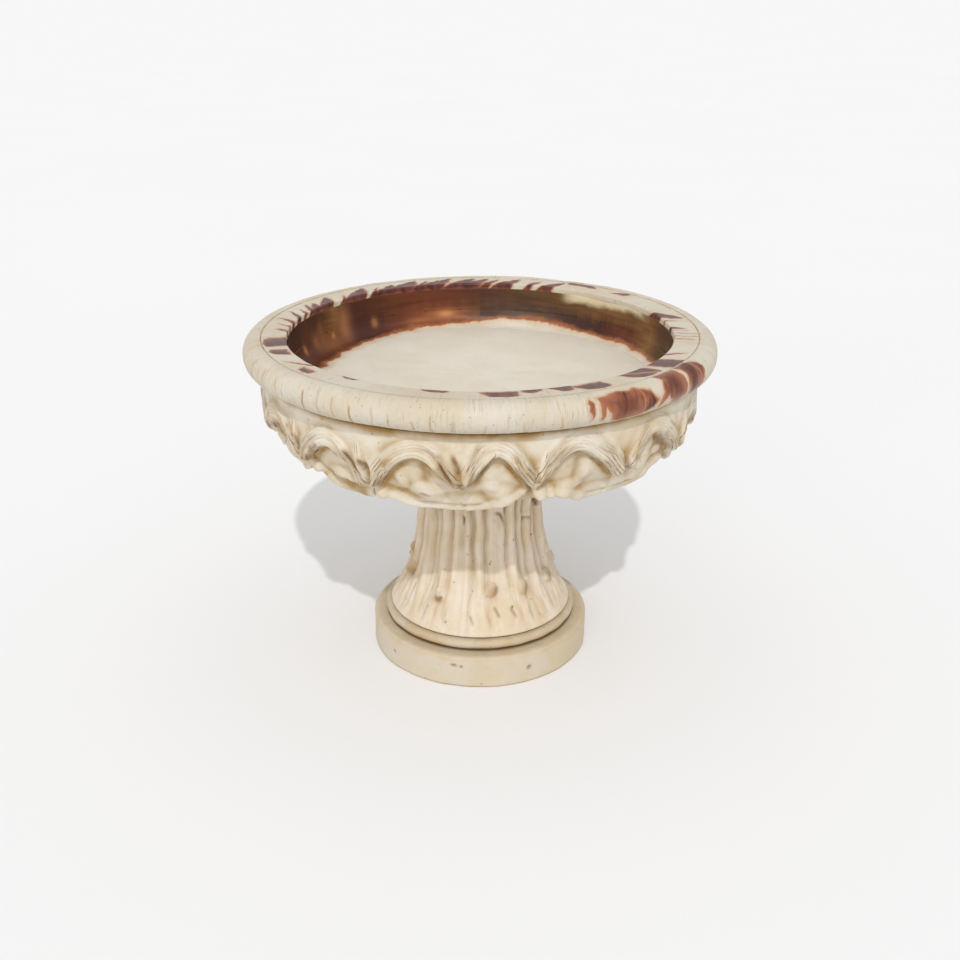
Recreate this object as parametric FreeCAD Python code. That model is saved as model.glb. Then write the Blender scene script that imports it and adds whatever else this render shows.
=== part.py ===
import FreeCAD, Part
import math
import os

os.makedirs("parts", exist_ok=True)

# A garden bird bath of cast stone: a carved bowl with a glazed basin stands on a fluted pedestal.
# The plinth, base ring and pedestal are clamped in a stack by one tie rod up the middle.
# The bowl rests on a rubber seat, is centred by a round spigot and lifts off for cleaning.
# Millimetres, +Z up. The origin is on the ground under the centre of the plinth.

# ---- Driving dimensions ----

# Plinth, the lowest casting, which stands out round the base ring
plinth_height = 44.0
plinth_projection = 17.0
plinth_edge_radius = 6.0

# Base ring, a half-round moulding between plinth and pedestal, which stands out round the foot
ring_height = 13.0
ring_projection = 7.5

# Pedestal, from its foot to the seat of the bowl
pedestal_height = 206.0
foot_diameter = 247.0
foot_lip = 2.5
neck_diameter = 162.0
neck_height = 153.0
seat_diameter = 184.0
seat_edge = 6.0

# Flutes and leaf buds round the pedestal
flute_count = 12
flute_radius = 8.0
flute_depth = 4.0
flute_low = 36.0
flute_high = 144.0
bud_radius = 6.5
bud_height = 37.0

# Mortar beds between castings, raked back from the edge they support
bed_thickness = 1.5
bed_setback = 2.0

# Seat gasket between pedestal and bowl
gasket_thickness = 3.0
gasket_hole_margin = 8.5
gasket_edge_margin = 5.0

# Bowl casting
bowl_height = 137.0
carving_depth = 9.0
boss_projection = 4.0
boss_height = 9.0
plain_band_height = 21.0
plain_band_setback = 1.5
undercut_depth = 5.0
undercut_height = 4.0
bowl_depth_power = 3.5
bowl_side_power = 3.9
curve_steps = 22

# Carving: garlands that run from one knot to the next, above and below
carving_count = 16
carving_turn = -7.5
garland_radius = 7.0
garland_sink = 1.5
knot_radius = 11.0
arch_drop = 32.0
knot_rise = 50.0
swag_rise = 26.0

# Rim roll, the rounded coping round the top of the bowl
rim_diameter = 600.0
rim_overhang = 17.5
roll_thickness = 37.0
roll_shoulder = 4.5

# Basin
basin_depth = 62.5
wall_thickness = 8.5
wall_batter = 4.0
floor_thickness = 12.0
floor_bed_thickness = 4.0
seal_leg = 5.0

# Flat glazed band let into the top of the rim roll, and the joint round its outside
inlay_width = 30.5
inlay_thickness = 8.0
inlay_fall = 1.1
inlay_drop = 1.0
inlay_edge_radius = 2.5
joint_width = 1.5
joint_depth = 4.0

# Dowels that hold the rim roll on the bowl
dowel_count = 8
dowel_diameter = 8.0
dowel_length = 50.0

# Tie rod and its fixings: M16
rod_diameter = 16.0
rod_bore_clearance = 2.0
rod_end_recess = 3.0
rod_into_spigot = 32.0
nut_across_flats = 24.0
nut_height = 13.0
washer_diameter = 50.0
washer_thickness = 4.0
plinth_pocket_depth = 24.0
pocket_clearance = 1.5
washer_pocket_clearance = 3.0

# Centring spigot on the pedestal and its socket in the bowl
spigot_diameter = 48.0
spigot_height = 36.0
spigot_chamfer = 4.0
spigot_flange_width = 4.0
spigot_flange_thickness = 10.0
spigot_roof = 8.0
tommy_hole_diameter = 5.0
tommy_hole_depth = 7.0
tommy_hole_count = 2
socket_clearance = 0.6
socket_headroom = 3.0
socket_wall = 2.4

# Clearances left between pieces that are bonded or dropped in
bond_clearance = 0.3

# ---- Heights of the joints between pieces, from the ground up ----

ring_bottom = plinth_height + bed_thickness
ring_top = ring_bottom + ring_height
pedestal_bottom = ring_top + bed_thickness
pedestal_top = pedestal_bottom + pedestal_height
bowl_bottom = pedestal_top + gasket_thickness
bowl_top = bowl_bottom + bowl_height
roll_bottom = bowl_top + bed_thickness
rim_top = roll_bottom + roll_thickness
inlay_top = rim_top - inlay_drop
inlay_bottom = inlay_top - inlay_fall - inlay_thickness
floor_top = rim_top - basin_depth
floor_bottom = floor_top - floor_thickness
recess_bottom = floor_bottom - floor_bed_thickness

# ---- Radii that several pieces share ----

foot_radius = foot_diameter / 2
neck_radius = neck_diameter / 2
seat_radius = seat_diameter / 2
ring_radius = foot_radius + ring_projection
ring_flat_radius = ring_radius - ring_height / 2
plinth_radius = ring_radius + plinth_projection
rim_radius = rim_diameter / 2
roll_radius = roll_thickness / 2
roll_centre_radius = rim_radius - roll_radius
joint_outer_radius = roll_centre_radius - roll_shoulder
inlay_outer_radius = joint_outer_radius - joint_width
basin_radius = inlay_outer_radius - inlay_width
wall_outer_radius = basin_radius + wall_thickness
wall_foot_radius = basin_radius - wall_batter
lining_radius = wall_outer_radius + bond_clearance
rod_radius = rod_diameter / 2
rod_bore_radius = rod_radius + rod_bore_clearance
washer_radius = washer_diameter / 2
spigot_radius = spigot_diameter / 2
flange_radius = spigot_radius + spigot_flange_width
pocket_radius = max(flange_radius, washer_radius) + pocket_clearance
spigot_top = pedestal_top + spigot_height
socket_radius = spigot_radius + socket_clearance
socket_outer_radius = socket_radius + socket_wall
socket_roof = spigot_top + socket_headroom
boss_radius = seat_radius + boss_projection
carving_radius = rim_radius - rim_overhang
ground_radius = carving_radius - carving_depth
band_radius = carving_radius - plain_band_setback
ground_bottom = bowl_bottom + boss_height

ORIGIN = FreeCAD.Vector(0, 0, 0)
UP = FreeCAD.Vector(0, 0, 1)
OUTWARD = FreeCAD.Vector(1, 0, 0)


# ---- Outline and pattern helpers ----

def point(radius, height):
    """A point of a turned outline: distance from the axis, and height."""
    return FreeCAD.Vector(radius, 0, height)


def line(start, end):
    return Part.LineSegment(point(*start), point(*end)).toShape()


def arc(start, middle, end):
    return Part.Arc(point(*start), point(*middle), point(*end)).toShape()


def turned(edges):
    """The solid that a closed outline sweeps round the vertical axis."""
    return Part.Face(Part.Wire(edges)).revolve(ORIGIN, UP, 360)


def turned_polygon(*corners):
    """A turned solid with a straight-sided outline."""
    edges = [line(a, b) for a, b in zip(corners, corners[1:] + corners[:1])]
    return turned(edges)


def disc(radius, low, high):
    return Part.makeCylinder(radius, high - low, point(0, low))


def ring(inner, outer, low, high):
    return turned_polygon((inner, low), (outer, low), (outer, high), (inner, high))


def around(shape, count, start=0.0):
    """Copies of a shape at equal turns about the vertical axis."""
    copies = []
    for index in range(count):
        copy = shape.copy()
        copy.rotate(ORIGIN, UP, start + 360.0 * index / count)
        copies.append(copy)
    return copies


def place(radius, height, turn):
    """A point given by its distance from the axis, its height and its turn in degrees."""
    angle = math.radians(turn)
    return FreeCAD.Vector(radius * math.cos(angle), radius * math.sin(angle), height)


def rounded_bar(start, middle, end, radius):
    """A round bar along the arc through three points, with a ball at each end."""
    path = Part.Arc(start, middle, end).toShape()
    section = Part.Circle(start, path.tangentAt(path.FirstParameter), radius).toShape()
    bar = Part.Wire(path).makePipeShell([Part.Wire(section)], True, True)
    return bar.fuse([Part.makeSphere(radius, start), Part.makeSphere(radius, end)])


def save(shape, node):
    shape.exportStep("parts/" + node + ".step")


# ---- The rounded outside of the bowl, on which the carving stands ----

def ground_curve_point(turn):
    """A point of the outline: turn 0 is its upright side, 90 degrees the middle of its bottom."""
    angle = math.radians(turn)
    across = ground_radius * math.cos(angle) ** (2 / bowl_side_power)
    down = (bowl_top - ground_bottom) * math.sin(angle) ** (2 / bowl_depth_power)
    return across, bowl_top - down


def ground_curve_radius(height):
    """How far the same outline is from the axis at one height."""
    share = (bowl_top - height) / (bowl_top - ground_bottom)
    return ground_radius * (1 - share ** bowl_depth_power) ** (1 / bowl_side_power)


def ground_curve():
    """The outline's edge from its top down to the boss, and the point where it ends."""
    last = math.degrees(math.acos((boss_radius / ground_radius) ** (bowl_side_power / 2)))
    points = [ground_curve_point(last * step / curve_steps) for step in range(curve_steps + 1)]
    curve = Part.BSplineCurve()
    curve.interpolate([point(*p) for p in points])
    return curve.toShape(), points[-1]


# ---- Base: plinth, ring, pedestal and their beds ----

def plinth():
    radius = plinth_radius
    corner = plinth_edge_radius
    bend = corner * (1 - math.sqrt(0.5))
    body = turned([
        line((rod_bore_radius, 0), (radius, 0)),
        line((radius, 0), (radius, plinth_height - corner)),
        arc((radius, plinth_height - corner), (radius - bend, plinth_height - bend),
            (radius - corner, plinth_height)),
        line((radius - corner, plinth_height), (rod_bore_radius, plinth_height)),
        line((rod_bore_radius, plinth_height), (rod_bore_radius, 0)),
    ])
    return body.cut(disc(washer_radius + washer_pocket_clearance, 0, plinth_pocket_depth))


def base_ring():
    middle = (ring_radius, (ring_bottom + ring_top) / 2)
    return turned([
        line((rod_bore_radius, ring_bottom), (ring_flat_radius, ring_bottom)),
        arc((ring_flat_radius, ring_bottom), middle, (ring_flat_radius, ring_top)),
        line((ring_flat_radius, ring_top), (rod_bore_radius, ring_top)),
        line((rod_bore_radius, ring_top), (rod_bore_radius, ring_bottom)),
    ])


def mortar_bed(low, outer_radius):
    return ring(rod_bore_radius, outer_radius, low, low + bed_thickness)


neck_z = pedestal_bottom + neck_height
foot_z = pedestal_bottom + foot_lip
capital_z = pedestal_top - seat_edge


def sweep_radius(wide_radius, rise):
    """Radius of the arc that is upright at the neck and reaches wide_radius at a height rise away."""
    spread = wide_radius - neck_radius
    return (spread ** 2 + rise ** 2) / (2 * spread)


foot_sweep = sweep_radius(foot_radius, neck_z - foot_z)
capital_sweep = sweep_radius(seat_radius, capital_z - neck_z)


def pedestal_radius(height):
    """Distance of the pedestal's surface from its axis, below the neck."""
    return neck_radius + foot_sweep - math.sqrt(foot_sweep ** 2 - (neck_z - height) ** 2)


def capital_radius(height):
    """The same above the neck."""
    return neck_radius + capital_sweep - math.sqrt(capital_sweep ** 2 - (height - neck_z) ** 2)


def pedestal_body():
    foot_middle = (foot_z + neck_z) / 2
    capital_middle = (capital_z + neck_z) / 2
    return turned([
        line((rod_bore_radius, pedestal_bottom), (foot_radius, pedestal_bottom)),
        line((foot_radius, pedestal_bottom), (foot_radius, foot_z)),
        arc((foot_radius, foot_z), (pedestal_radius(foot_middle), foot_middle), (neck_radius, neck_z)),
        arc((neck_radius, neck_z), (capital_radius(capital_middle), capital_middle), (seat_radius, capital_z)),
        line((seat_radius, capital_z), (seat_radius, pedestal_top)),
        line((seat_radius, pedestal_top), (rod_bore_radius, pedestal_top)),
        line((rod_bore_radius, pedestal_top), (rod_bore_radius, pedestal_bottom)),
    ])


def flute():
    """The bar whose shape is cut from the pedestal to leave one flute."""
    stand_off = flute_radius - flute_depth
    heights = [pedestal_bottom + h for h in (flute_low, (flute_low + flute_high) / 2, flute_high)]
    ends = []
    for height in heights:
        rise = height - neck_z
        lean = math.asin(rise / foot_sweep)
        radius = pedestal_radius(height) + stand_off * math.cos(lean)
        ends.append(FreeCAD.Vector(radius, 0, height - stand_off * math.sin(lean)))
    return rounded_bar(*ends, flute_radius)


def pedestal():
    between_flutes = 180.0 / flute_count
    body = pedestal_body().cut(around(flute(), flute_count))
    bud_z = pedestal_bottom + bud_height
    bud = Part.makeSphere(bud_radius, point(pedestal_radius(bud_z), bud_z), OUTWARD)
    body = body.fuse(around(bud, flute_count, between_flutes))
    pocket_bottom = pedestal_top - spigot_flange_thickness - washer_thickness
    return body.cut(disc(pocket_radius, pocket_bottom, pedestal_top))


# ---- Fixings up the middle of the base ----

def tie_rod():
    rod_top = pedestal_top - spigot_flange_thickness + rod_into_spigot
    return disc(rod_radius, rod_end_recess, rod_top)


def washer(low):
    return ring(rod_radius + bond_clearance, washer_radius, low, low + washer_thickness)


def lower_nut():
    low = plinth_pocket_depth - washer_thickness - nut_height
    corner_radius = nut_across_flats / math.sqrt(3)
    corners = [place(corner_radius, low, 60.0 * index) for index in range(7)]
    hexagon = Part.Face(Part.makePolygon(corners)).extrude(UP * nut_height)
    return hexagon.cut(disc(rod_radius, low, low + nut_height))


def centring_spigot():
    flange_bottom = pedestal_top - spigot_flange_thickness
    body = turned_polygon(
        (0, flange_bottom),
        (flange_radius, flange_bottom),
        (flange_radius, pedestal_top),
        (spigot_radius, pedestal_top),
        (spigot_radius, spigot_top - spigot_chamfer),
        (spigot_radius - spigot_chamfer, spigot_top),
        (0, spigot_top),
    )
    hole_bottom = point(spigot_radius / 2, spigot_top - tommy_hole_depth)
    hole = Part.makeCylinder(tommy_hole_diameter / 2, tommy_hole_depth, hole_bottom)
    rod_hole = disc(rod_radius, flange_bottom, spigot_top - spigot_roof)
    return body.cut([rod_hole] + around(hole, tommy_hole_count))


def seat_gasket():
    return ring(pocket_radius + gasket_hole_margin, seat_radius - gasket_edge_margin, pedestal_top, bowl_bottom)


# ---- Bowl casting and the carving round it ----

def ground_point(height, turn, sink=0.0):
    """A point of the surface that the carving stands on, or sink below it."""
    return place(ground_curve_radius(height) - sink, height, turn)


def carving():
    step = 360.0 / carving_count
    first = ground_point(ground_bottom + knot_rise, 0)
    last = ground_point(ground_bottom + knot_rise, step)
    arch_middle = ground_point(bowl_top - arch_drop, step / 2, garland_sink)
    swag_middle = ground_point(ground_bottom + swag_rise, step / 2, garland_sink)
    arch = rounded_bar(first, arch_middle, last, garland_radius)
    swag = rounded_bar(first, swag_middle, last, garland_radius)
    knot = Part.makeSphere(knot_radius, first)
    return around(arch.fuse([swag, knot]), carving_count, carving_turn)


def bowl_shell():
    outer, outer_end = ground_curve()
    socket_top = socket_roof + socket_wall
    body = turned([
        line((lining_radius, bowl_top), (ground_radius, bowl_top)),
        outer,
        line(outer_end, (boss_radius, bowl_bottom)),
        line((boss_radius, bowl_bottom), (socket_outer_radius, bowl_bottom)),
        line((socket_outer_radius, bowl_bottom), (socket_outer_radius, socket_top)),
        line((socket_outer_radius, socket_top), (0, socket_top)),
        line((0, socket_top), (0, recess_bottom)),
        line((0, recess_bottom), (lining_radius, recess_bottom)),
        line((lining_radius, recess_bottom), (lining_radius, bowl_top)),
    ])
    band_root = ground_radius - plain_band_setback
    band = turned_polygon(
        (band_root, bowl_top - plain_band_height - carving_depth),
        (band_radius, bowl_top - plain_band_height),
        (band_radius, bowl_top - undercut_height),
        (band_radius - undercut_depth, bowl_top),
        (band_root, bowl_top),
    )
    body = body.fuse([band] + carving())
    return body.cut(around(dowel_hole(), dowel_count))


# ---- Basin: bed, floor, wall and corner seal ----

def floor_bed():
    return disc(lining_radius, recess_bottom, floor_bottom)


def basin_floor():
    return disc(wall_foot_radius - bond_clearance, floor_bottom, floor_top)


def basin_wall():
    return turned_polygon(
        (wall_foot_radius, floor_bottom),
        (wall_outer_radius, floor_bottom),
        (wall_outer_radius, inlay_bottom),
        (basin_radius, inlay_bottom),
        (wall_foot_radius, floor_top),
    )


def corner_seal():
    climb = wall_batter * seal_leg / (inlay_bottom - floor_top)
    return turned_polygon(
        (wall_foot_radius - seal_leg, floor_top),
        (wall_foot_radius, floor_top),
        (wall_foot_radius + climb, floor_top + seal_leg),
    )


def socket_cup():
    outside = disc(socket_outer_radius, bowl_bottom, socket_roof + socket_wall)
    return outside.cut(disc(socket_radius, bowl_bottom, socket_roof))


# ---- Rim: bed, roll, dowels, joint and inlay ----

def rim_bed():
    outer = band_radius - undercut_depth - bed_setback
    return ring(lining_radius, outer, bowl_top, roll_bottom).cut(around(dowel_hole(), dowel_count))


def roll_height(radius):
    """Height of the roll's rounded top at one distance from the axis."""
    return roll_bottom + roll_radius + math.sqrt(roll_radius ** 2 - (radius - roll_centre_radius) ** 2)


def rim_roll():
    shoulder_z = roll_height(joint_outer_radius)
    body = turned([
        line((lining_radius, roll_bottom), (roll_centre_radius, roll_bottom)),
        arc((roll_centre_radius, roll_bottom), (rim_radius, roll_bottom + roll_radius),
            (joint_outer_radius, shoulder_z)),
        line((joint_outer_radius, shoulder_z), (joint_outer_radius, inlay_bottom)),
        line((joint_outer_radius, inlay_bottom), (lining_radius, inlay_bottom)),
        line((lining_radius, inlay_bottom), (lining_radius, roll_bottom)),
    ])
    return body.cut(around(dowel_hole(), dowel_count))


dowel_circle = (lining_radius + ground_radius) / 2
dowel_bottom = (bowl_top + roll_bottom - dowel_length) / 2


def dowel_hole():
    radius = dowel_diameter / 2 + bond_clearance
    top = dowel_length + bond_clearance
    return Part.makeCylinder(radius, top, point(dowel_circle, dowel_bottom))


def rim_dowels():
    dowel = Part.makeCylinder(dowel_diameter / 2, dowel_length, point(dowel_circle, dowel_bottom))
    return Part.Compound(around(dowel, dowel_count))


def inlay_joint():
    return ring(inlay_outer_radius, joint_outer_radius, inlay_top - joint_depth, inlay_top)


def rim_inlay():
    inner_top = inlay_top - inlay_fall
    edge = inlay_edge_radius
    bend = edge * (1 - math.sqrt(0.5))
    return turned([
        line((basin_radius, inlay_bottom), (inlay_outer_radius, inlay_bottom)),
        line((inlay_outer_radius, inlay_bottom), (inlay_outer_radius, inlay_top)),
        line((inlay_outer_radius, inlay_top), (basin_radius + edge, inner_top)),
        arc((basin_radius + edge, inner_top), (basin_radius + bend, inner_top - bend),
            (basin_radius, inner_top - edge)),
        line((basin_radius, inner_top - edge), (basin_radius, inlay_bottom)),
    ])


# ---- One file for each piece ----

pieces = {
    "plinth": plinth(),
    "plinth_bed": mortar_bed(plinth_height, ring_flat_radius),
    "base_ring": base_ring(),
    "pedestal_bed": mortar_bed(ring_top, min(foot_diameter / 2, ring_flat_radius) - bed_setback),
    "pedestal": pedestal(),
    "tie_rod": tie_rod(),
    "lower_washer": washer(plinth_pocket_depth - washer_thickness),
    "lower_nut": lower_nut(),
    "upper_washer": washer(pedestal_top - spigot_flange_thickness - washer_thickness),
    "centring_spigot": centring_spigot(),
    "seat_gasket": seat_gasket(),
    "bowl_shell": bowl_shell(),
    "socket_cup": socket_cup(),
    "floor_bed": floor_bed(),
    "basin_floor": basin_floor(),
    "basin_wall": basin_wall(),
    "corner_seal": corner_seal(),
    "rim_bed": rim_bed(),
    "rim_roll": rim_roll(),
    "rim_dowels": rim_dowels(),
    "inlay_joint": inlay_joint(),
    "rim_inlay": rim_inlay(),
}

for node, shape in pieces.items():
    save(shape, node)
    print(node, len(shape.Solids), round(shape.Volume / 1000.0, 1), shape.isValid())
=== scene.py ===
"""Looks of a carved garden bird bath with a glazed basin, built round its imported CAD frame.

Sizes in this script are millimetres and degrees. Round the axis, turn 0 is the front of the bath,
towards the camera, and turn 90 its right-hand side. Meshes are scaled to metres when they are made.
"""
import math

import bpy
import numpy as np
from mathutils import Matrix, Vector


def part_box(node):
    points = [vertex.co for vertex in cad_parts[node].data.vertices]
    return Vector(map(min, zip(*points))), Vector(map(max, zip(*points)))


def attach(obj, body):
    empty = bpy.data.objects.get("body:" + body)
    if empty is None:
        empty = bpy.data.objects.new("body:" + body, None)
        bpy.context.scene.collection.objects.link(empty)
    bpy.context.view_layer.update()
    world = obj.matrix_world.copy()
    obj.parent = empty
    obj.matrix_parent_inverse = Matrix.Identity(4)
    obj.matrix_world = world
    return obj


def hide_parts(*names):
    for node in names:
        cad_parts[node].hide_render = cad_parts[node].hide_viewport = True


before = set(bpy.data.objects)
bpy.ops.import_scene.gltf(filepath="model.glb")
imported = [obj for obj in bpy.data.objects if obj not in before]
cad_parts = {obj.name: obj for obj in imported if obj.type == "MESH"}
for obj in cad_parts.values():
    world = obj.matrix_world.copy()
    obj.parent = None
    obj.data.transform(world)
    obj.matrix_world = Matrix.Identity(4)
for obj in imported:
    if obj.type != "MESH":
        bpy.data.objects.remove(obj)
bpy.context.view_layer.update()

MM = 0.001
BASE, BOWL = "base", "bowl"


# ---- Places that the frame gives ----

def low_of(node):
    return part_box(node)[0][2] / MM


def top_of(node):
    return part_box(node)[1][2] / MM


def radius_of(node):
    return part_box(node)[1][0] / MM


# ---- Surfaces turned round the axis ----

def straight(start, end, count):
    """Points from start towards end, without the end."""
    share = np.linspace(0, 1, count, endpoint=False)[:, None]
    return np.array(start, float) + share * (np.array(end, float) - np.array(start, float))


def bend(centre, radius, first, last, count):
    """Points of an arc in the outline's plane, without its last point. Angle 0 points away from the axis."""
    angle = np.radians(np.linspace(first, last, count, endpoint=False))
    return np.column_stack([centre[0] + radius * np.cos(angle), centre[1] + radius * np.sin(angle)])


class Turned:
    """A closed outline swept round the axis, whose points can be moved before it becomes a mesh.

    The outline runs anticlockwise: up its outside. Rows follow the outline and columns go round.
    """

    def __init__(self, outline, columns):
        outline = np.asarray(outline, float)
        ahead = np.roll(outline, -1, axis=0) - outline
        behind = outline - np.roll(outline, 1, axis=0)
        ahead /= np.linalg.norm(ahead, axis=1)[:, None]
        behind /= np.linalg.norm(behind, axis=1)[:, None]
        run = ahead + behind
        run /= np.linalg.norm(run, axis=1)[:, None]
        self.out = run[:, 1][:, None]
        self.up = -run[:, 0][:, None]
        self.turn = np.linspace(-180, 180, columns, endpoint=False)[None, :]
        self.radius = np.repeat(outline[:, :1], columns, axis=1)
        self.height = np.repeat(outline[:, 1:], columns, axis=1)
        self.rows, self.columns = self.radius.shape
        self.marks = {}

    def push(self, distance):
        """Moves every point outward, square to the outline."""
        self.radius = self.radius + distance * self.out
        self.height = self.height + distance * self.up

    def mark(self, name, values):
        self.marks[name] = np.broadcast_to(values, self.radius.shape)

    def piece(self, name):
        angle = np.radians(self.turn)
        points = np.stack([self.radius * np.sin(angle), -self.radius * np.cos(angle), self.height], axis=2)
        index = np.arange(self.rows * self.columns).reshape(self.rows, self.columns)
        right = np.roll(index, -1, axis=1)
        faces = np.stack([index, right, np.roll(right, -1, axis=0), np.roll(index, -1, axis=0)], axis=2)
        mesh = bpy.data.meshes.new(name)
        mesh.vertices.add(index.size)
        mesh.vertices.foreach_set("co", (points * MM).ravel())
        mesh.loops.add(faces.size)
        mesh.loops.foreach_set("vertex_index", faces.ravel())
        mesh.polygons.add(index.size)
        mesh.polygons.foreach_set("loop_start", np.arange(0, faces.size, 4))
        mesh.update(calc_edges=True)
        mesh.shade_smooth()
        for mark, values in self.marks.items():
            layer = mesh.attributes.new(mark, "FLOAT", "POINT")
            layer.data.foreach_set("value", np.ascontiguousarray(values, dtype=np.float32).ravel())
        obj = bpy.data.objects.new(name, mesh)
        bpy.context.collection.objects.link(obj)
        return obj


def smooth(value, low, high):
    """0 at low, 1 at high, with a soft start and end."""
    share = np.clip((value - low) / (high - low), 0, 1)
    return share * share * (3 - 2 * share)


def ripple(turn, height, radius, size, seed, count=20):
    """A smooth random field round the axis, about -1 to 1, with swells of about one size."""
    rng = np.random.default_rng(seed)
    total = 0
    for _ in range(count):
        wave = 2 * math.pi / (size * rng.uniform(0.7, 1.7))
        heading = rng.uniform(0, 2 * math.pi)
        lobes = round(wave * math.cos(heading) * radius)
        phase = rng.uniform(0, 2 * math.pi)
        total = total + np.cos(np.radians(turn) * lobes + wave * math.sin(heading) * height + phase)
    return total / math.sqrt(count * 1.1)


# ---- Relief carved on a turned surface ----

class Carving:
    """Ridges, creases and hollows drawn on a surface by turn and level.

    Across the surface a level is read on a scale of true length, so a feature keeps its size
    where the surface curves under.
    """

    def __init__(self, surface, radius, heights, lengths, warp, seed):
        self.radius = radius
        self.heights, self.lengths = heights, lengths
        self.columns_x = np.radians(surface.turn[0]) * radius
        levels = self.level(surface.height)
        self.warp = warp
        wander = ripple(surface.turn, levels, radius, 60, seed)
        drift = ripple(surface.turn, levels, radius, 60, seed + 1)
        self.x = self.columns_x[None, :] + warp * wander
        self.y = levels + warp * drift
        self.relief = np.zeros(self.y.shape)
        self.crease = np.zeros(self.y.shape)
        self.patina = np.zeros(self.y.shape)
        self.across = np.zeros(self.y.shape)
        self.strands = np.zeros(self.y.shape)

    def level(self, height):
        return np.interp(height, self.heights, self.lengths)

    def place(self, turn, height):
        return math.radians(turn) * self.radius, float(self.level(height))

    def window(self, left, right, low, high):
        """Columns and rows of the grid round a box, and the shift that brings the columns to it."""
        round_trip = 2 * math.pi * self.radius
        middle, half = (left + right) / 2, (right - left) / 2 + self.warp * 2
        offset = (self.columns_x - middle + round_trip / 2) % round_trip - round_trip / 2
        columns = np.where(np.abs(offset) < half)[0]
        rows = np.where((self.y.max(axis=1) > low) & (self.y.min(axis=1) < high))[0]
        grid = np.ix_(rows, columns)
        x = (self.x[grid] - middle + round_trip / 2) % round_trip - round_trip / 2 + middle
        return grid, x, self.y[grid]

    def near(self, path, reach):
        """For the grid points round a path: distance to it, side of it, and share along it."""
        points = np.array([self.place(*spot) for spot in path])
        lengths = np.linalg.norm(np.diff(points, axis=0), axis=1)
        shares = np.concatenate([[0], np.cumsum(lengths)]) / lengths.sum()
        low, high = points.min(axis=0) - reach, points.max(axis=0) + reach
        grid, x, y = self.window(low[0], high[0], low[1], high[1])
        distance = np.full(x.shape, 1e9)
        side, share = np.zeros(x.shape), np.zeros(x.shape)
        for i in range(len(points) - 1):
            run = points[i + 1] - points[i]
            t = np.clip(((x - points[i, 0]) * run[0] + (y - points[i, 1]) * run[1]) / (run @ run), 0, 1)
            ex = x - points[i, 0] - t * run[0]
            ey = y - points[i, 1] - t * run[1]
            away = np.hypot(ex, ey)
            closer = away < distance
            distance = np.where(closer, away, distance)
            side = np.where(closer, np.sign(run[0] * ey - run[1] * ex), side)
            share = np.where(closer, shares[i] + t * (shares[i + 1] - shares[i]), share)
        return grid, distance, side, share

    def ridge(self, path, width, height, start=0.25, end=0.25, full=8.0):
        """A rounded ridge that narrows and sinks towards its ends."""
        grid, distance, _, share = self.near(path, width * 1.5)
        taper = np.minimum(smooth(share, -0.02, start), smooth(1 - share, -0.02, end))
        across = distance / (width * (0.4 + 0.6 * taper))
        bump = height * taper ** 0.6 * np.clip(1 - across ** 2, 0, 1) ** 1.4
        self.relief[grid] += bump * (1 - 0.6 * np.clip(self.relief[grid] / full, 0, 1))

    def fold(self, path, width, depth, lip=0.0, dark=1.0, start=0.3, end=0.3):
        """A crease, with a raised lip on the left of the path's direction where lip isn't 0."""
        grid, distance, side, share = self.near(path, width * 6)
        taper = np.minimum(smooth(share, 0, start), smooth(1 - share, 0, end))
        cut = taper * np.exp(-(distance / width) ** 2)
        self.relief[grid] -= depth * cut
        self.crease[grid] = np.maximum(self.crease[grid], dark * cut)
        if lip:
            beside = (distance * side - 2.2 * width) / (1.6 * width)
            self.relief[grid] += lip * taper * np.exp(-beside ** 2)

    def comb(self, path, reach, strength):
        """Marks fine strands that run along a path: how far they lie across it and how strong they show."""
        grid, distance, side, share = self.near(path, reach)
        ends = np.minimum(smooth(share, 0, 0.06), smooth(1 - share, 0, 0.06))
        shown = strength * smooth(reach - distance, 0, 5) * ends
        shown = shown * (0.35 + 0.65 * smooth(np.abs(share - 0.5), 0.1, 0.3))
        nearer = shown > self.strands[grid]
        self.across[grid] = np.where(nearer, distance * side, self.across[grid])
        self.strands[grid] = np.where(nearer, shown, self.strands[grid])

    def oval(self, turn, height, wide, tall, tilt, margin):
        """The grid round an oval, and each point's place in it, where the oval's edge is at 1."""
        cx, cy = self.place(turn, height)
        reach = max(wide, tall) * margin
        grid, x, y = self.window(cx - reach, cx + reach, cy - reach, cy + reach)
        angle = math.radians(tilt)
        u = ((x - cx) * math.cos(angle) + (y - cy) * math.sin(angle)) / wide
        v = (-(x - cx) * math.sin(angle) + (y - cy) * math.cos(angle)) / tall
        return grid, u, v

    def swell(self, turn, height, wide, tall, rise, tilt=0.0, dark=0.0, power=1.5):
        """An oval swelling, or a hollow where rise is below 0."""
        grid, u, v = self.oval(turn, height, wide, tall, tilt, 1.6)
        shape = np.clip(1 - u * u - v * v, 0, 1) ** power
        self.relief[grid] += rise * shape
        if dark:
            self.crease[grid] = np.maximum(self.crease[grid], dark * shape)

    def stain(self, turn, height, wide, tall, strength, tilt=0.0):
        """A soft patch of brown patina."""
        grid, u, v = self.oval(turn, height, wide, tall, tilt, 2)
        self.patina[grid] = np.maximum(self.patina[grid], strength * np.exp(-(u * u + v * v) * 1.5))

    def hollows(self, spread):
        """How far each point lies below the average of its surroundings."""
        level = self.relief.copy()
        for _ in range(3):
            for axis in (0, 1):
                moved = sum(np.roll(level, shift, axis=axis) for shift in range(-spread, spread + 1))
                level = moved / (2 * spread + 1)
        return level - self.relief


# ---- Node materials ----

def rgb(red, green, blue):
    """A linear colour from the 0 to 255 numbers of a screen colour."""
    def linear(value):
        value /= 255
        return value / 12.92 if value <= 0.04045 else ((value + 0.055) / 1.055) ** 2.4
    return linear(red), linear(green), linear(blue), 1.0


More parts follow.
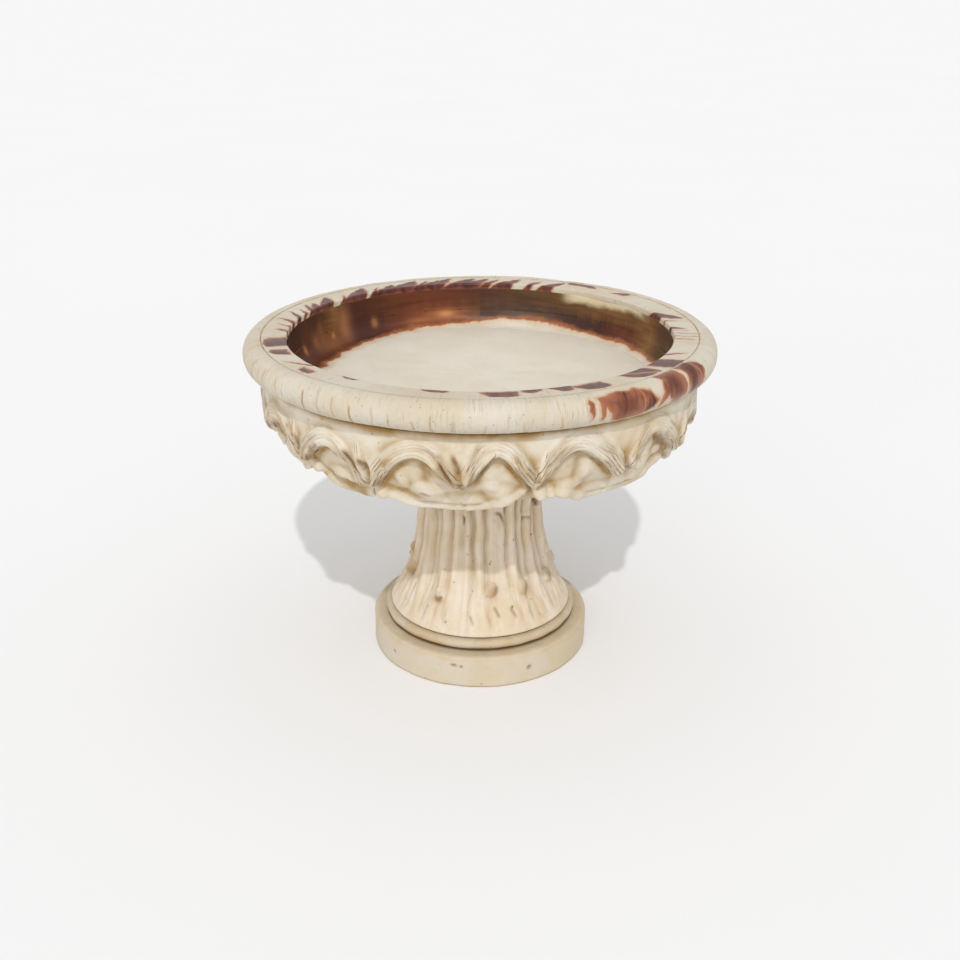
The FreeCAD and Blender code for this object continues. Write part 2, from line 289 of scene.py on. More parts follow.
class Material:
    """A node material. Its methods add nodes and return the socket that carries the result."""

    def __init__(self, name):
        self.material = bpy.data.materials.new(name)
        self.material.use_nodes = True
        self.tree = self.material.node_tree
        self.surface = self.tree.nodes["Principled BSDF"]
        self.place = self.add("ShaderNodeTexCoord").outputs["Object"]

    def add(self, kind, settings=None, inputs=None):
        node = self.tree.nodes.new(kind)
        for key, value in (settings or {}).items():
            setattr(node, key, value)
        for key, value in (inputs or {}).items():
            self.feed(node.inputs[key], value)
        return node

    def feed(self, socket, value):
        if isinstance(value, bpy.types.NodeSocket):
            self.tree.links.new(value, socket)
        else:
            socket.default_value = value

    def attribute(self, name):
        return self.add("ShaderNodeAttribute", {"attribute_name": name}).outputs["Fac"]

    def math(self, operation, a, b=0.0, clamp=False):
        node = self.add("ShaderNodeMath", {"operation": operation, "use_clamp": clamp}, {0: a, 1: b})
        return node.outputs[0]

    def times(self, a, b, clamp=False):
        return self.math("MULTIPLY", a, b, clamp)

    def plus(self, a, b):
        return self.math("ADD", a, b)

    def minus(self, a, b):
        return self.math("SUBTRACT", a, b)

    def remap(self, value, low, high, to_low=0.0, to_high=1.0):
        node = self.add("ShaderNodeMapRange", {"interpolation_type": "SMOOTHSTEP"}, {
            "Value": value, "From Min": low, "From Max": high, "To Min": to_low, "To Max": to_high})
        return node.outputs["Result"]

    def blend(self, share, a, b, way="MIX"):
        node = self.add("ShaderNodeMix", {"data_type": "RGBA", "blend_type": way}, {0: share, 6: a, 7: b})
        return node.outputs[2]

    def noise(self, size, detail=4.0, vector=None, rough=0.55):
        """Noise whose blotches are about one size in millimetres."""
        node = self.add("ShaderNodeTexNoise", None, {
            "Vector": vector or self.place, "Scale": 1 / (size * MM), "Detail": detail, "Roughness": rough})
        return node.outputs["Fac"]

    def stretched(self, across, along, upward):
        """The place vector in a frame that turns with the axis, scaled on its three directions."""
        parts = self.add("ShaderNodeSeparateXYZ", None, {0: self.place}).outputs
        turn = self.math("ARCTAN2", parts["X"], self.times(parts["Y"], -1.0))
        reach = self.math("SQRT", self.plus(self.times(parts["X"], parts["X"]),
                                            self.times(parts["Y"], parts["Y"])))
        return self.add("ShaderNodeCombineXYZ", None, {
            0: self.times(turn, across),
            1: self.times(reach, along),
            2: self.times(parts["Z"], upward)}).outputs[0]

    def ramp(self, value, stops, ease=False):
        node = self.add("ShaderNodeValToRGB", None, {0: value})
        node.color_ramp.interpolation = "B_SPLINE" if ease else "LINEAR"
        steps = node.color_ramp.elements
        while len(steps) < len(stops):
            steps.new(0.5)
        for step, (position, colour) in zip(steps, stops):
            step.position = position
            step.color = colour
        return node.outputs["Color"]

    def pits(self, size, share, seed_shift):
        """Small scattered pits: 1 in a pit and 0 between."""
        moved = self.add("ShaderNodeVectorMath", {"operation": "ADD"}, {0: self.place, 1: seed_shift})
        cell = self.add("ShaderNodeTexVoronoi", None, {"Vector": moved.outputs[0], "Scale": 1 / (size * MM)})
        chosen = self.math("LESS_THAN", self.add("ShaderNodeSeparateXYZ", None, {
            0: cell.outputs["Color"]}).outputs[0], share)
        spot = self.remap(cell.outputs["Distance"], 0.16, 0.34, 1.0, 0.0)
        return self.times(spot, chosen)

    def bump(self, height, distance, strength=1.0, normal=None):
        inputs = {"Height": height, "Distance": distance * MM, "Strength": strength}
        if normal is not None:
            inputs["Normal"] = normal
        return self.add("ShaderNodeBump", None, inputs).outputs["Normal"]

    def finish(self, colour, roughness, normal=None, **extra):
        self.feed(self.surface.inputs["Base Color"], colour)
        self.feed(self.surface.inputs["Roughness"], roughness)
        if normal is not None:
            self.feed(self.surface.inputs["Normal"], normal)
        for key, value in extra.items():
            self.feed(self.surface.inputs[key.replace("_", " ")], value)
        return self.material


IVORY = rgb(216, 208, 192)
SAND = rgb(206, 192, 166)
OCHRE = rgb(162, 126, 70)
UMBER = rgb(92, 60, 22)


def stone(name, pale, warm, pit_share=0.02, streaks=0.0, strands=False):
    """Cast stone: mottled, gritty, with scattered pits, and darker in its creases."""
    make = Material(name)
    cloud = make.noise(90, 5)
    mottle = make.noise(22, 6)
    grit = make.noise(1.6, 3, rough=0.7)
    tone = make.remap(make.plus(make.times(cloud, 0.6), make.times(mottle, 0.4)),
                      0.38, 0.62)
    colour = make.blend(tone, pale, warm)
    colour = make.blend(make.remap(grit, 0.5, 0.8, 0.0, 0.22), colour, OCHRE)
    patina = make.times(make.attribute("patina"), make.remap(mottle, 0.3, 0.7, 0.65, 1.15), clamp=True)
    colour = make.blend(patina, colour, OCHRE)
    colour = make.blend(make.math("POWER", make.attribute("crease"), 1.2), colour, UMBER)
    relief = make.times(grit, 0.5)
    if streaks:
        wash = make.remap(make.noise(1000, 4, make.stretched(16, 2, 6), rough=0.6), 0.46, 0.7, 0.0, streaks)
        colour = make.blend(wash, colour, rgb(166, 116, 60))
    if strands:
        shift = make.times(make.minus(make.noise(16, 3), 0.5), 3.6)
        place = make.plus(make.attribute("across"), shift)
        wave = make.math("ABSOLUTE", make.math("SINE", make.times(place, math.pi / 3.9)))
        line = make.remap(wave, 0.0, 0.5, 1.0, 0.0)
        seen = make.times(make.attribute("strands"), make.remap(make.noise(15, 2), 0.38, 0.56))
        line = make.times(line, seen)
        colour = make.blend(line, colour, UMBER)
        relief = make.minus(relief, make.times(line, 1.5))
    pits = make.pits(6, pit_share, (0.31, 0.12, 0.57))
    colour = make.blend(make.times(pits, 0.45), colour, rgb(140, 100, 56))
    normal = make.bump(make.minus(relief, make.times(pits, 0.6)), 0.5, 0.55)
    return make.finish(colour, make.remap(grit, 0.3, 0.7, 0.5, 0.72), normal, Specular_IOR_Level=0.35)


def clad(piece, material):
    piece.data.materials.clear()
    piece.data.materials.append(material)
    return piece


# ---- Bowl casting with its carved garlands ----

BOWL_COLUMNS = 880
# Radius at which turns on the bowl are read as true lengths
BOWL_REACH = 270.0
# Heights between which the carving is fine, so that the rows are close
CARVED_LOW, CARVED_HIGH = 292.0, 389.0
bowl_low, bowl_top = low_of("bowl_shell"), top_of("bowl_shell")
carving_radius = radius_of("bowl_shell")
lining_radius = radius_of("floor_bed")
recess_low = low_of("floor_bed")
boss_radius = 96.0
boss_top = bowl_low + 9.0
ground_radius = carving_radius - 7.0
cup_radius = radius_of("socket_cup")


def bowl_outline():
    """The casting's section: boss, rounded outside, undercut top, recess for the basin."""
    share = np.linspace(0, 1, 400)
    reach = ground_radius * np.sin(share * math.pi / 2) ** (2 / 3.9)
    drop = (bowl_top - boss_top) * np.cos(share * math.pi / 2) ** (2 / 3.5)
    curve = np.column_stack([reach, bowl_top - drop])
    curve = curve[curve[:, 0] > boss_radius]
    length = np.concatenate([[0], np.cumsum(np.linalg.norm(np.diff(curve, axis=0), axis=1))])
    seen = np.interp(ground_radius - 80, curve[:, 0], length)
    hem, crown = np.interp((CARVED_LOW, CARVED_HIGH), curve[:, 1], length)
    marks = np.concatenate([np.linspace(0, seen, 9, endpoint=False),
                            np.linspace(seen, hem, 12, endpoint=False),
                            np.linspace(hem, crown, 70, endpoint=False), np.linspace(crown, length[-1], 12)])
    outside = np.column_stack([np.interp(marks, length, curve[:, 0]), np.interp(marks, length, curve[:, 1])])
    rest = np.vstack([
        straight((lining_radius, bowl_top), (lining_radius, recess_low), 3),
        straight((lining_radius, recess_low), (cup_radius + 1, recess_low), 3),
        straight((cup_radius + 1, recess_low), (cup_radius, bowl_low), 2),
        straight((cup_radius, bowl_low), (boss_radius, bowl_low), 2),
    ])
    return outside, rest, marks


outside, rest, marks = bowl_outline()
bowl = Turned(np.vstack([outside, rest]), BOWL_COLUMNS)
carving = Carving(bowl, BOWL_REACH, outside[:, 1], marks, warp=1.6, seed=5)

# Knots that gather the garlands. The hem hangs from the tied ones and passes under the others.
KNOT_STEP = 22.5
KNOT_COUNT = 16
FIRST_KNOT = 15.0
# The turn and height of the knots that face the front, and whether the hem is tied to them
FRONT_KNOTS = {13: (310.1, 332, True), 14: (332.3, 325, True), 15: (355.8, 337, False),
               0: (13.0, 336, True), 1: (37.4, 332, False), 2: (59.8, 331, True)}


def knots():
    rng = np.random.default_rng(11)
    made = []
    for index in range(KNOT_COUNT):
        turn = FIRST_KNOT + KNOT_STEP * index
        made.append([turn + rng.uniform(-1, 1), 330 + rng.uniform(-5, 5), index % 2 == 0])
    for index, knot in FRONT_KNOTS.items():
        made[index] = list(knot)
    return made


def lean_share(share, lean):
    """Moves the middle of a 0 to 1 run to one side."""
    return share ** (1 + lean) if lean >= 0 else 1 - (1 - share) ** (1 - lean)


def arch_path(left, right, top, lean, steps=18):
    """A rounded arch from one knot up and over to the next."""
    share = np.linspace(0, 1, steps)
    rise = np.sin(math.pi * lean_share(share, lean)) ** 0.95
    foot = left[1] + (right[1] - left[1]) * share
    return [(left[0] + (right[0] - left[0]) * s, f + (top - f) * r) for s, f, r in zip(share, foot, rise)]


def beside(path, offset):
    """A path that keeps a distance to one side of another and meets it at both ends."""
    spots = np.array([carving.place(*spot) for spot in path])
    run = np.gradient(spots, axis=0)
    run /= np.linalg.norm(run, axis=1)[:, None]
    share = np.linspace(0, 1, len(path))
    spread = offset * np.sin(math.pi * share) ** 0.6
    moved = spots + np.column_stack([-run[:, 1], run[:, 0]]) * spread[:, None]
    heights = np.interp(moved[:, 1], marks, outside[:, 1])
    return [(math.degrees(x) / carving.radius, z) for x, z in zip(moved[:, 0], heights)]


def part_of(path, first, last):
    """The stretch of a path between two shares of it."""
    count = len(path) - 1
    return path[round(first * count):round(last * count) + 1]


# The top and lean of the arches that face the front, by the number of their left knot
FRONT_BAYS = {13: (376, 0.0), 14: (381, 0.1), 15: (387, -0.15),
              0: (386, -0.28), 1: (384, -0.3), 2: (378, -0.2)}


def carve_bay(left, right, index):
    """One arch of gathered strands, with the smooth hollow cell it frames."""
    rng = np.random.default_rng(100 + index)
    width = right[0] - left[0]
    top, lean = FRONT_BAYS.get(index, (378 + rng.uniform(-3, 7), rng.uniform(-0.3, 0.25)))
    arch = arch_path(left, right, top, lean)
    spots = np.array([carving.place(*spot) for spot in arch])
    grid, x, y = carving.window(spots[0, 0], spots[-1, 0], -50, 260)
    crown = np.interp(x, spots[:, 0], spots[:, 1], left=-1e3, right=-1e3)
    hem = carving.level(312 + rng.uniform(-3, 3))
    inside = smooth(crown - 7 - y, 0, 8) * smooth(y - hem, -4, 14)
    shaded = inside * smooth(y, hem + 10, top - 10)
    carving.relief[grid] -= 7.5 * inside
    carving.patina[grid] = np.maximum(carving.patina[grid], 0.12 * inside + 0.3 * shaded)
    middle = left[0] + width * (0.5 + 0.3 * lean)
    carving.swell(middle + rng.uniform(-2, 3), 322, 28, 19, 8.0, tilt=rng.uniform(-14, 14))
    drop = rng.uniform(-5, 5)
    carving.fold([(middle + drop, top - 12), (middle + drop * 1.3, 350), (middle + drop * 1.1, 328)],
                 7.0, 3.4, 1.4, 0.16, 0.3, 0.4)
    for offset, rise in ((-6.0, 4.4), (0.5, 3.0), (7.5, 4.4)):
        carving.ridge(beside(arch, offset + rng.uniform(-1, 1)), 6.8, rise, 0.12, 0.12)
    for offset, depth in ((-2.8, 2.4), (4.0, 2.0), (11.5, 2.6)):
        strand = beside(arch, offset + rng.uniform(-0.8, 0.8))
        for first, last in ((0.06, rng.uniform(0.26, 0.46)), (1 - rng.uniform(0.26, 0.46), 0.94)):
            carving.fold(part_of(strand, first, last), rng.uniform(2.4, 2.8), depth, 1.1,
                         rng.uniform(0.1, 0.4))
    carving.comb(arch, 14, 0.95)
    inner = beside(arch, -11.5)
    carving.fold(part_of(inner, 0.1, rng.uniform(0.45, 0.7)), 2.8, 2.0, 0, rng.uniform(0.1, 0.5))
    carving.fold(part_of(inner, 0.6, 0.92), 2.6, 2.0, 0, rng.uniform(0.1, 0.5))


def carve_knot(knot, seed):
    """Leaf-like strands that fan up from a knot, and the knot's bead where the hem is tied."""
    rng = np.random.default_rng(seed)
    turn, height, tied = knot
    for way in (-30, -10, 12, 31):
        heading = math.radians(way + rng.uniform(-6, 6))
        reach = rng.uniform(40, 60)
        curl = rng.uniform(0.05, 0.5) * (1 if way > 0 else -1)
        path = []
        for share in np.linspace(0.1, 1, 7):
            angle = heading + curl * share
            path.append((turn + math.degrees(reach * share * math.sin(angle) / carving.radius),
                         height + reach * share * math.cos(angle)))
        carving.ridge(path, 6.8, 4.2, 0.25, 0.6)
        carving.comb(path, 6, rng.uniform(0.5, 1.0))
        shifted = [(t + math.degrees(5.0 / carving.radius), z) for t, z in path]
        carving.fold(shifted[:-1], 2.5, 2.4, 0.9, rng.uniform(0.2, 0.6), 0.2, 0.6)
    if tied:
        carving.swell(turn + 1.6, height - 8, 9.5, 8.5, 6.0, power=0.7)
        carving.fold([(turn - 1.5, height - 14), (turn - 0.6, height - 8), (turn - 1.2, height - 1)],
                     2.3, 2.4, 0, 0.6, 0.2, 0.2)
        carving.stain(turn + 3.5, height - 16, 8, 5, 0.9)
    else:
        carving.fold([(turn - 1, height + 14), (turn, height + 2), (turn + 0.4, height - 6)],
                     2.4, 2.0, 0, 0.6)


def hem_path(made):
    """The hem's wavy line round the bowl: it sags between the tied knots."""
    path = []
    for index in range(len(made) + 1):
        turn, height, tied = made[index % len(made)]
        turn += 360 * (index // len(made))
        path.append((turn, height - 9 if tied else 303))
    smooth_path = []
    for (a, za), (b, zb) in zip(path, path[1:]):
        sag = 13 if za > 310 and zb > 310 else 3
        for share in np.linspace(0, 1, 8, endpoint=False):
            ease = share * share * (3 - 2 * share)
            wave = 2.2 * math.sin(math.radians(a) * 7 + share * 9)
            drop = (sag + wave) * math.sin(math.pi * share)
            smooth_path.append((a + (b - a) * share, za + (zb - za) * ease - drop))
    smooth_path.append(path[-1])
    return smooth_path


def carve_bowl():
    made = knots()
    ahead = [[turn + 360, height, tied] for turn, height, tied in made[:1]]
    for index, (left, right) in enumerate(zip(made, made[1:] + ahead)):
        carve_bay(left, right, index)
    for index, knot in enumerate(made):
        carve_knot(knot, 200 + index)
    hem = hem_path(made)
    spots = np.array([carving.place(*spot) for spot in hem])
    line = np.interp(np.degrees(carving.x / carving.radius) % 360,
                     np.degrees(spots[:, 0] / carving.radius), spots[:, 1], period=360)
    under = smooth(line - 4 - carving.y, 0, 9) * smooth(carving.y, -40, 30)
    carving.relief -= 5.5 * under
    # Darker and browner in the recess under the hem.
    carving.patina = np.maximum(carving.patina, 0.5 * under * smooth(carving.y, 60, 110))
    for start in range(0, len(hem) - 1, 8):
        stretch = hem[start:start + 9]
        carving.ridge(stretch, 8.5, 6.2, 0.05, 0.05)
        below = [(turn, height - 9) for turn, height in stretch]
        carving.fold(part_of(below, 0.1, 0.9), 2.6, 2.4, 0, 0.65)


def stain_front():
    """Deep brown patina and hollows that show on the front of the bowl."""
    for turn, height, wide, tall, strength, tilt in (
            (-36, 312, 34, 9, 1.2, -24), (-22, 364, 14, 7, 0.9, 40), (-17, 318, 22, 8, 0.9, 0),
            (-12, 352, 7, 16, 0.7, 0), (-5, 362, 5, 13, 0.95, -18), (4, 366, 14, 9, 0.8, 0),
            (-44, 352, 6, 17, 0.8, 0), (25, 366, 12, 9, 0.8, 0), (20, 314, 9, 6, 1.0, 0),
            (47, 362, 12, 9, 0.8, 0), (52, 324, 16, 7, 0.8, 0)):
        carving.stain(turn, height, wide, tall, strength, tilt)
    carving.swell(-39, 358, 6, 8, -2.6, tilt=-25, dark=0.45)
    carving.swell(-36, 317, 24, 6, -2.0, tilt=-24, dark=0.5)
    carving.swell(-14, 322, 10, 5, -1.5, tilt=-20, dark=0.4)
    carving.swell(20, 313, 7, 4, -1.5, dark=0.5)
    carving.fold([(-44, 346), (-44.5, 358), (-41.5, 368)], 3.0, 2.8, 1.0, 0.5)
    carving.fold([(-34, 373), (-31, 358), (-28.8, 338)], 2.3, 3.0, 1.2, 1.0, 0.25, 0.4)
    carving.fold([(-29.5, 366), (-27.6, 354), (-27.2, 342)], 2.3, 2.4, 1.0, 0.8, 0.3, 0.4)
    carving.fold([(-9.5, 374), (-7, 358), (-4.8, 342)], 2.4, 3.0, 1.2, 1.0, 0.25, 0.4)
    carving.fold([(-6.5, 380), (-5.0, 366), (-4.4, 352)], 2.3, 2.4, 1.0, 0.7, 0.3, 0.4)
    carving.fold([(-60, 374), (-57, 356), (-52, 336)], 2.3, 3.0, 1.2, 1.0, 0.25, 0.4)
    carving.fold([(-51, 368), (-50, 352), (-49.5, 338)], 2.3, 2.4, 1.0, 0.8, 0.3, 0.4)
    carving.swell(16.0, 326, 13, 11, 6.5, power=0.5)
    for turn, height, wide, tall, rise, tilt in ((-33, 322, 20, 7, 5.0, -20), (-20, 335, 9, 16, 4.0, 12),
                                                (2, 334, 16, 9, 4.0, 14), (26, 340, 12, 14, 4.0, -10),
                                                (48, 338, 12, 12, 4.0, 16)):
        carving.swell(turn, height, wide, tall, rise, tilt=tilt)


carve_bowl()
stain_front()
# Patina in the carving's hollows, which also serves as painted shade there.
carving.patina = np.maximum(carving.patina, np.clip(carving.hollows(3) / 2.8, 0, 0.9))
carving.patina = np.maximum(carving.patina, 0.8 * np.sqrt(carving.crease))
# Painted shade under the roll's overhang, given as an ochre band in the patina mark.
painted_shade_under_roll = smooth(bowl.height + 3 * ripple(bowl.turn, 0, BOWL_REACH, 90, 33), bowl_top - 15, bowl_top - 1)
carving.patina = np.maximum(carving.patina, 1.0 * painted_shade_under_roll)
on_outside = (np.arange(bowl.rows) < len(outside))[:, None]
edge_fade = smooth(bowl.height, boss_top - 1, boss_top + 8) * on_outside
plain = smooth(bowl_top - bowl.height, 8, 20)
wobble = (0.7 * ripple(bowl.turn, bowl.height, BOWL_REACH, 45, 31)
          + 0.25 * ripple(bowl.turn, bowl.height, BOWL_REACH, 14, 32))
undercut = 5.0 * smooth(bowl.height, bowl_top - 4, bowl_top)
bowl.push(np.where(on_outside, (carving.relief * plain + wobble) * edge_fade + 2.0 * edge_fade - undercut, 0))
# Painted shade just under the lip, added to the crease mark.
painted_shade_under_lip = 0.45 * smooth(bowl.height, bowl_top - 10, bowl_top - 1)
bowl.mark("crease", np.clip(carving.crease * plain + painted_shade_under_lip, 0, 1) * on_outside)
bowl.mark("across", carving.across)
bowl.mark("strands", carving.strands * on_outside)
bowl.mark("patina", np.clip(carving.patina * on_outside, 0, 1))
bowl_piece = bowl.piece("carved_bowl")
carved_stone = stone("carved_cast_stone", IVORY, SAND, strands=True)
clad(bowl_piece, carved_stone)
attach(bowl_piece, BOWL)
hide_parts("bowl_shell")

# ---- Glaze ----

class Glaze:
    """Patches of coloured glaze on a turned surface. depth is how far a point lies inside a patch."""

    def __init__(self, surface, radius, level, seed, ragged=1.0):
        fine = ripple(surface.turn, level, radius, 5, seed + 1)
        broad = ripple(surface.turn, level, radius, 16, seed)
        self.radius = radius
        self.x = np.radians(surface.turn) * radius + ragged * (1.1 * broad + 0.35 * fine)
        self.y = level + ragged * 0.8 * ripple(surface.turn, level, radius, 14, seed + 2)
        self.depth = np.full(level.shape, -20.0)

    def offset(self, turn):
        """How far each point lies round the surface from a turn."""
        whole = 2 * math.pi * self.radius
        return (self.x - math.radians(turn) * self.radius + whole / 2) % whole - whole / 2

    def streak(self, turn, width, start, end, lean=0.0, tip=1.0, tail=0.0):
        """A brush of glaze from one level to another, narrowing at its tip and tail."""
        share = (self.y - start) / (end - start)
        held = np.clip(share, 0, 1)
        half = width / 2 * (1 - held) ** (0.8 * tip) * (held + 0.02) ** (0.6 * tail)
        caps = np.minimum(share, 1 - share) * abs(end - start)
        inside = np.minimum(half - np.abs(self.offset(turn) - lean * held), caps)
        self.depth = np.maximum(self.depth, inside)

    def patch(self, corners):
        """A patch with straight sides between corners, each a turn and a level."""
        middle = sum(turn for turn, _ in corners) / len(corners)
        x = self.offset(middle)
        spots = [(math.radians(turn - middle) * self.radius, level) for turn, level in corners]
        inside = np.zeros(x.shape, bool)
        nearest = np.full(x.shape, 1e9)
        for (ax, ay), (bx, by) in zip(spots, spots[1:] + spots[:1]):
            dx, dy = bx - ax, by - ay
            share = np.clip(((x - ax) * dx + (self.y - ay) * dy) / (dx * dx + dy * dy), 0, 1)
            nearest = np.minimum(nearest, np.hypot(x - ax - share * dx, self.y - ay - share * dy))
            if ay != by:
                crosses = (ay > self.y) != (by > self.y)
                inside ^= crosses & (x < ax + dx * (self.y - ay) / dy)
        self.depth = np.maximum(self.depth, np.where(inside, nearest, -nearest))

    def bare_line(self, start, end, width):
        """A thin unglazed line between two spots."""
        middle = (start[0] + end[0]) / 2
        x = self.offset(middle)
        ax, bx = (math.radians(spot[0] - middle) * self.radius for spot in (start, end))
        dx, dy = bx - ax, end[1] - start[1]
        share = np.clip(((x - ax) * dx + (self.y - start[1]) * dy) / (dx * dx + dy * dy), 0, 1)
        away = np.hypot(x - ax - share * dx, self.y - start[1] - share * dy)
        self.depth = np.minimum(self.depth, away - width / 2)


def glazed_stone(name, deep, mid, edge, hairs):
    """Ivory stone with radial hairlines, and patches of glossy glaze where the depth mark is above 0."""
    make = Material(name)
    cloud = make.noise(70, 4)
    grit = make.noise(1.4, 3, rough=0.7)

    def hairline(spread, width, fade_low):
        fan = make.noise(1000, 3, make.stretched(spread, 4, spread / 10), rough=0.6)
        fade = make.noise(1000, 3, make.stretched(spread / 4, 14, 44))
        line = make.remap(make.math("ABSOLUTE", make.minus(fan, 0.5)), 0.0, width, 1.0, 0.0)
        return make.times(line, make.remap(fade, fade_low, fade_low + 0.16))

    colour = make.blend(make.remap(cloud, 0.35, 0.65), rgb(204, 196, 181), rgb(198, 186, 164))
    colour = make.blend(make.remap(grit, 0.42, 0.8, 0.0, 0.2), colour, rgb(150, 128, 96))
    colour = make.blend(make.times(hairline(170, 0.03, 0.5), hairs), colour, rgb(140, 112, 72))
    colour = make.blend(make.times(hairline(46, 0.008, 0.44), hairs), colour, rgb(134, 94, 40))
    wide = make.remap(make.noise(1000, 2, make.stretched(60, 3, 8)), 0.64, 0.74)
    colour = make.blend(make.times(wide, hairs * 0.8), colour, rgb(198, 166, 104))
    colour = make.blend(make.attribute("line"), colour, rgb(150, 108, 40))
    depth = make.attribute("glaze")
    halo = make.times(make.remap(depth, -4.5, 0.2), make.remap(cloud, 0.3, 0.7, 0.35, 0.8))
    colour = make.blend(halo, colour, edge)
    tone = make.noise(1000, 4, make.stretched(26, 12, 20))
    body = make.blend(make.remap(tone, 0.36, 0.64), deep, mid)
    body = make.blend(make.remap(depth, 4.0, 15.0, 0.0, 0.6), body, deep)
    lines = make.noise(1000, 4, make.stretched(150, 3, 5), rough=0.65)
    body = make.blend(make.remap(lines, 0.55, 0.75, 0.0, 0.35), body, rgb(70, 36, 30))
    body = make.blend(make.remap(depth, 0.3, 4.0, 0.6, 0.0), body, edge)
    inside = make.remap(depth, -0.35, 0.55)
    colour = make.blend(inside, colour, body)
    pits = make.pits(3.5, 0.05, (0.77, 0.35, 0.21))
    bare_pits = make.times(pits, make.minus(1.0, inside))
    colour = make.blend(make.times(bare_pits, 0.45), colour, rgb(120, 94, 60))
    rough = make.remap(inside, 0.0, 1.0, 0.52, 0.27)
    dip = make.plus(make.times(grit, 0.3), make.times(inside, 0.8))
    normal = make.bump(make.minus(dip, bare_pits), 0.35, 0.5)
    return make.finish(colour, rough, normal, Specular_IOR_Level=0.2)


# ---- Rim roll ----

roll_low, rim_top = low_of("rim_roll"), top_of("rim_roll")
rim_radius = radius_of("rim_roll")
roll_half = (rim_top - roll_low) / 2
roll_centre = (rim_radius - roll_half, roll_low + roll_half)
joint_outer = radius_of("inlay_joint")
inlay_outer = radius_of("rim_inlay")
inlay_low, inlay_top = low_of("rim_inlay"), top_of("rim_inlay")
shoulder_angle = math.degrees(math.acos((joint_outer - roll_centre[0]) / roll_half))
shoulder_height = roll_centre[1] + roll_half * math.sin(math.radians(shoulder_angle))
ROLL_COLUMNS = 1500
ROLL_ARC_ROWS = 50

roll = Turned(np.vstack([
    bend(roll_centre, roll_half, -90, shoulder_angle, ROLL_ARC_ROWS),
    straight((joint_outer, shoulder_height), (joint_outer, inlay_low), 3),
    straight((joint_outer, inlay_low), (lining_radius, inlay_low), 2),
    straight((lining_radius, inlay_low), (lining_radius, roll_low), 3),
    straight((lining_radius, roll_low), (roll_centre[0], roll_low), 3),
]), ROLL_COLUMNS)
roll_angle = np.full((roll.rows, 1), -180.0)
roll_angle[:ROLL_ARC_ROWS, 0] = np.linspace(-90, shoulder_angle, ROLL_ARC_ROWS, endpoint=False)
on_arc = (np.arange(roll.rows) < ROLL_ARC_ROWS)[:, None]
roll_level = np.broadcast_to(np.radians(roll_angle) * roll_half, roll.radius.shape)
roll_glaze = Glaze(roll, rim_radius, roll_level, 51)


def on_roll(*corners):
    """Corners given as turn and angle round the roll's section, with the angle changed to a level."""
    return [(turn, math.radians(angle) * roll_half) for turn, angle in corners]


def glaze_roll():
    tear = on_roll((23.6, 58), (24.3, 40), (24.2, 5), (23.6, -24), (23.1, 5), (22.9, 42))
    two_drips = on_roll((25.4, 50), (27.5, 60), (31, 66), (35, 62), (38.4, 48), (40.6, 14), (41.2, 2),
                        (40.2, -26), (36, -44), (31, -50), (29.2, -44), (28.4, -18), (27.4, 14),
                        (26.9, -12), (26.3, -33), (25.7, 6))
    middle = on_roll((43.2, 104), (51.2, 104), (51.6, 62), (52.3, 10), (52.0, -30), (50.2, -52), (47.2, -44),
                     (45.8, -16), (45.0, 4), (43.8, -14), (42.2, -34), (41.9, -12), (43.4, 22), (44.5, 62))
    last = on_roll((52.6, 104), (57.2, 100), (60, 78), (61.4, 40), (61.2, 0), (59, -38), (54.6, -52),
                   (53.4, -20), (53.2, 40))
    for corners in (tear, two_drips, middle, last):
        roll_glaze.patch(corners)
    for start, end in (((58.2, 96), (59.4, 0)), ((36.8, 58), (37.2, -40))):
        spots = on_roll(start, end)
        roll_glaze.bare_line(spots[0], spots[1], 0.35)
    for turn, width, start, end in ((150, 26, 88, -25), (158, 9, 70, 20),
                                    (-146, 20, 84, -10), (-120, 8, 60, 14)):
        levels = [math.radians(angle) * roll_half for angle in (start, end)]
        roll_glaze.streak(turn, width, levels[0], levels[1], 2, 0.9)


glaze_roll()
sway = (0.35 * ripple(roll.turn, roll_level, rim_radius, 130, 61)
        + 0.12 * ripple(roll.turn, roll_level, rim_radius, 9, 62))
roll.push(np.where(on_arc, sway - 0.3 + 0.25 * smooth(roll_glaze.depth, -0.8, 0.8), 0))
roll.mark("glaze", np.where(on_arc, roll_glaze.depth, -20))


def roll_lines():
    """Single brown lines across the roll, each with a turn, a strength and the angles it runs between."""
    total = 0
    for turn, strength, low, high in (
            (-72, 0.4, -30, 40), (-64, 0.5, -35, 60), (-57, 0.5, -35, 50), (-51, 0.4, -30, 40),
            (-41, 0.95, -40, 35), (-36.5, 0.4, -30, 60), (-32.5, 0.5, -35, 40), (-28, 0.9, -50, 20),
            (-23, 0.35, -45, 30), (-19, 0.4, -40, 10), (-14, 0.5, -50, -5), (-10, 0.5, -55, 20),
            (-5.5, 0.45, -45, 5), (1, 0.4, -50, -10), (9, 0.35, -50, 0), (17, 0.35, -55, 10),
            (72, 0.5, -30, 30), (84, 0.4, -30, 40), (108, 0.6, -35, 40), (131, 0.5, -30, 30),
            (-96, 0.5, -35, 40), (-118, 0.7, -40, 30), (-141, 0.4, -30, 50)):
        waver = 1.1 * ripple(roll.turn, roll_level, rim_radius, 24, 64)
        away = np.radians(roll.turn - turn) * rim_radius + waver
        run = smooth(roll_angle, low - 12, low + 6) * smooth(high - roll_angle, -6, 12)
        total = np.maximum(total, strength * run * np.exp(-(away / 1.2) ** 2))
    return total


